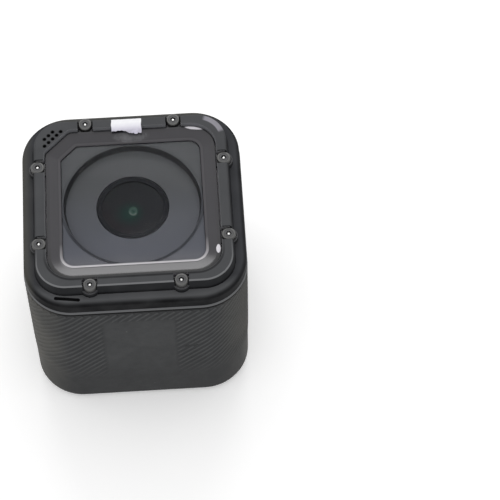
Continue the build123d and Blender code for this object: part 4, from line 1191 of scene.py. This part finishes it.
def tapeFinish(name, look):
    material, start = startFinish(name)
    up = aboveAxis(start) + 0.9 * (noise(start, 300, 3.0) - 0.5)
    grain = noise(start, look.grain, 3.0)
    base = mixed(limit(up, *look.lowFade), look.low, look.high)
    mottle = limit(noise(start, 1100, 4.0, 0.7), 0.4, 0.62) * (1 - limit(up, *look.stainFade))
    return painted(material, look, mixed(mottle * 0.75, base, look.stain), 0.3 + 0.25 * grain, grain)


def makeTape(look):
    wide, tall = look.cuts
    grid = bpy.ops.mesh.primitive_grid_add
    tape = startPiece("sealTape", grid, x_subdivisions=wide, y_subdivisions=tall, size=1)
    for vertex in tape.data.vertices:
        across, up = vertex.co.x + 0.5, vertex.co.y + 0.5
        # the foot is torn, most on the right
        torn = look.foot - 0.05 * math.sin(across * 17) - 0.035 * math.sin(across * 47 + 1)
        ragged = 1 - 0.16 * math.sin(across * 29) - 0.1 * math.sin(across * 71)
        torn -= (look.foot - look.tail) * rise(across, 0.4, 0.7) * ragged
        u = look.left + (look.right - look.left) * across + 0.04 * math.sin(up * 9)
        v = torn + (look.top - torn) * up
        # it sags into the gap past the opening's edge, and has a few soft creases
        sag = look.sag * rise(look.sagFrom - v, 0.0, 1.2)
        crease = 0.015 * math.sin(u * 3.1 + v * 1.7) + 0.01 * math.sin(u * 7.3 - v * 4.1)
        vertex.co = fromLens(u, v, look.out + crease * 0.8 - sag)
    pick(tape)
    thicken = tape.modifiers.new("thick", "SOLIDIFY")
    thicken.thickness = look.thick * mm
    thicken.offset = 0
    bpy.ops.object.modifier_apply(modifier="thick")
    finish = tapeFinish("sealTape", tapeLook)
    settle(tape, "camera", "tape_film", "seal_tape", finish=finish, smooth=60)


makeTape(tapeShape)
print("tape made")

# Stage, camera and lamps
stageLook = Look(
    colour=(255, 255, 255), speckle=(253, 253, 253), shine=(1.0, 1.0, 1.0, 1), shineStrength=0.24,
    rough=0.9, specular=0.0, reach=2.0,
    gap=0.05 * mm,  # between the back of the camera and the backdrop
)


def stagePlane(name, middle, turn, look):
    flat = bpy.ops.mesh.primitive_plane_add
    plane = startPiece(name, flat, size=look.reach, location=middle, rotation=turn)
    bpy.ops.object.transform_apply()
    material, start = startFinish(name)
    base = mixed(noise(start, 60, 2.0), look.colour, look.speckle)
    plane.data.materials.append(painted(material, look, base, look.rough))
    # clear from behind, so that the camera can look up at the base
    showMix(material, start.node("NewGeometry", output=6), None, start.node("BsdfTransparent"))
    # seen by the eye alone, so that light reaches the camera from every side
    plane.visible_diffuse = plane.visible_glossy = False
    plane.visible_transmission = plane.visible_shadow = False


stagePlane("floor", (0, 0, cadBox[0].z), (0, 0, 0), stageLook)
stagePlane("backdrop", (0, backFace + stageLook.gap, 0), (math.radians(90), 0, 0), stageLook)

cameraLook = Look(
    place=(0.009277, -0.335876, -0.178320), towards=(0.0275, 0.8627, 0.5049),
    upward=(0.0561, -0.5056, 0.8609), lens=157.99, sensor=36, nearest=0.01,
)


def setCamera(look):
    camera = addObject("viewCamera", bpy.data.cameras.new("viewCamera"))
    towards = Vector(look.towards).normalized()
    right = towards.cross(Vector(look.upward)).normalized()
    turned = Matrix((right, right.cross(towards), -towards)).transposed().to_4x4()
    camera.matrix_world = Matrix.Translation(look.place) @ turned
    camera.data.lens = look.lens
    camera.data.sensor_width = look.sensor
    camera.data.clip_start = look.nearest
    bpy.context.scene.camera = camera


setCamera(cameraLook)

lampLooks = {
    "skySoftbox": Look(place=(0.02, -0.33, 0.42), size=(0.34, 0.16), power=0.62),
    "sideSoftbox": Look(place=(-0.42, -0.20, 0.12), size=(0.12, 0.3), power=0.12),
}


def addLamp(name, look):
    lamp = bpy.data.lights.new(name, "AREA")
    lamp.shape = "RECTANGLE"
    lamp.size, lamp.size_y = look.size
    lamp.energy = look.power
    holder = addObject(name, lamp)
    holder.location = look.place
    aim = Vector((0, 0, axisHeight)) - Vector(look.place)
    holder.rotation_euler = aim.to_track_quat("-Z", "Y").to_euler()


for name, look in lampLooks.items():
    addLamp(name, look)

worldLook = Look(colour=(1, 1, 1, 1), shown=1.0, lighting=0.8)


def setWorld(look):
    # white where it is seen, mirrored or seen through, a little dimmer as light
    world = bpy.data.worlds.new("studio")
    bpy.context.scene.world = world
    world.use_nodes = True
    tree = world.node_tree
    start = Signal(tree)
    seen = start.node("LightPath") + start.node("LightPath", output=3) + start.node("LightPath", output=6)
    seen = start.maths("MINIMUM", seen, 1.0)
    strength = look.lighting + (look.shown - look.lighting) * seen
    background = tree.nodes["Background"]
    background.inputs[0].default_value = look.colour
    tree.links.new(strength.socket, background.inputs[1])


setWorld(worldLook)
bpy.context.scene.view_settings.view_transform = "Standard"
print("stage, camera and lamps set")
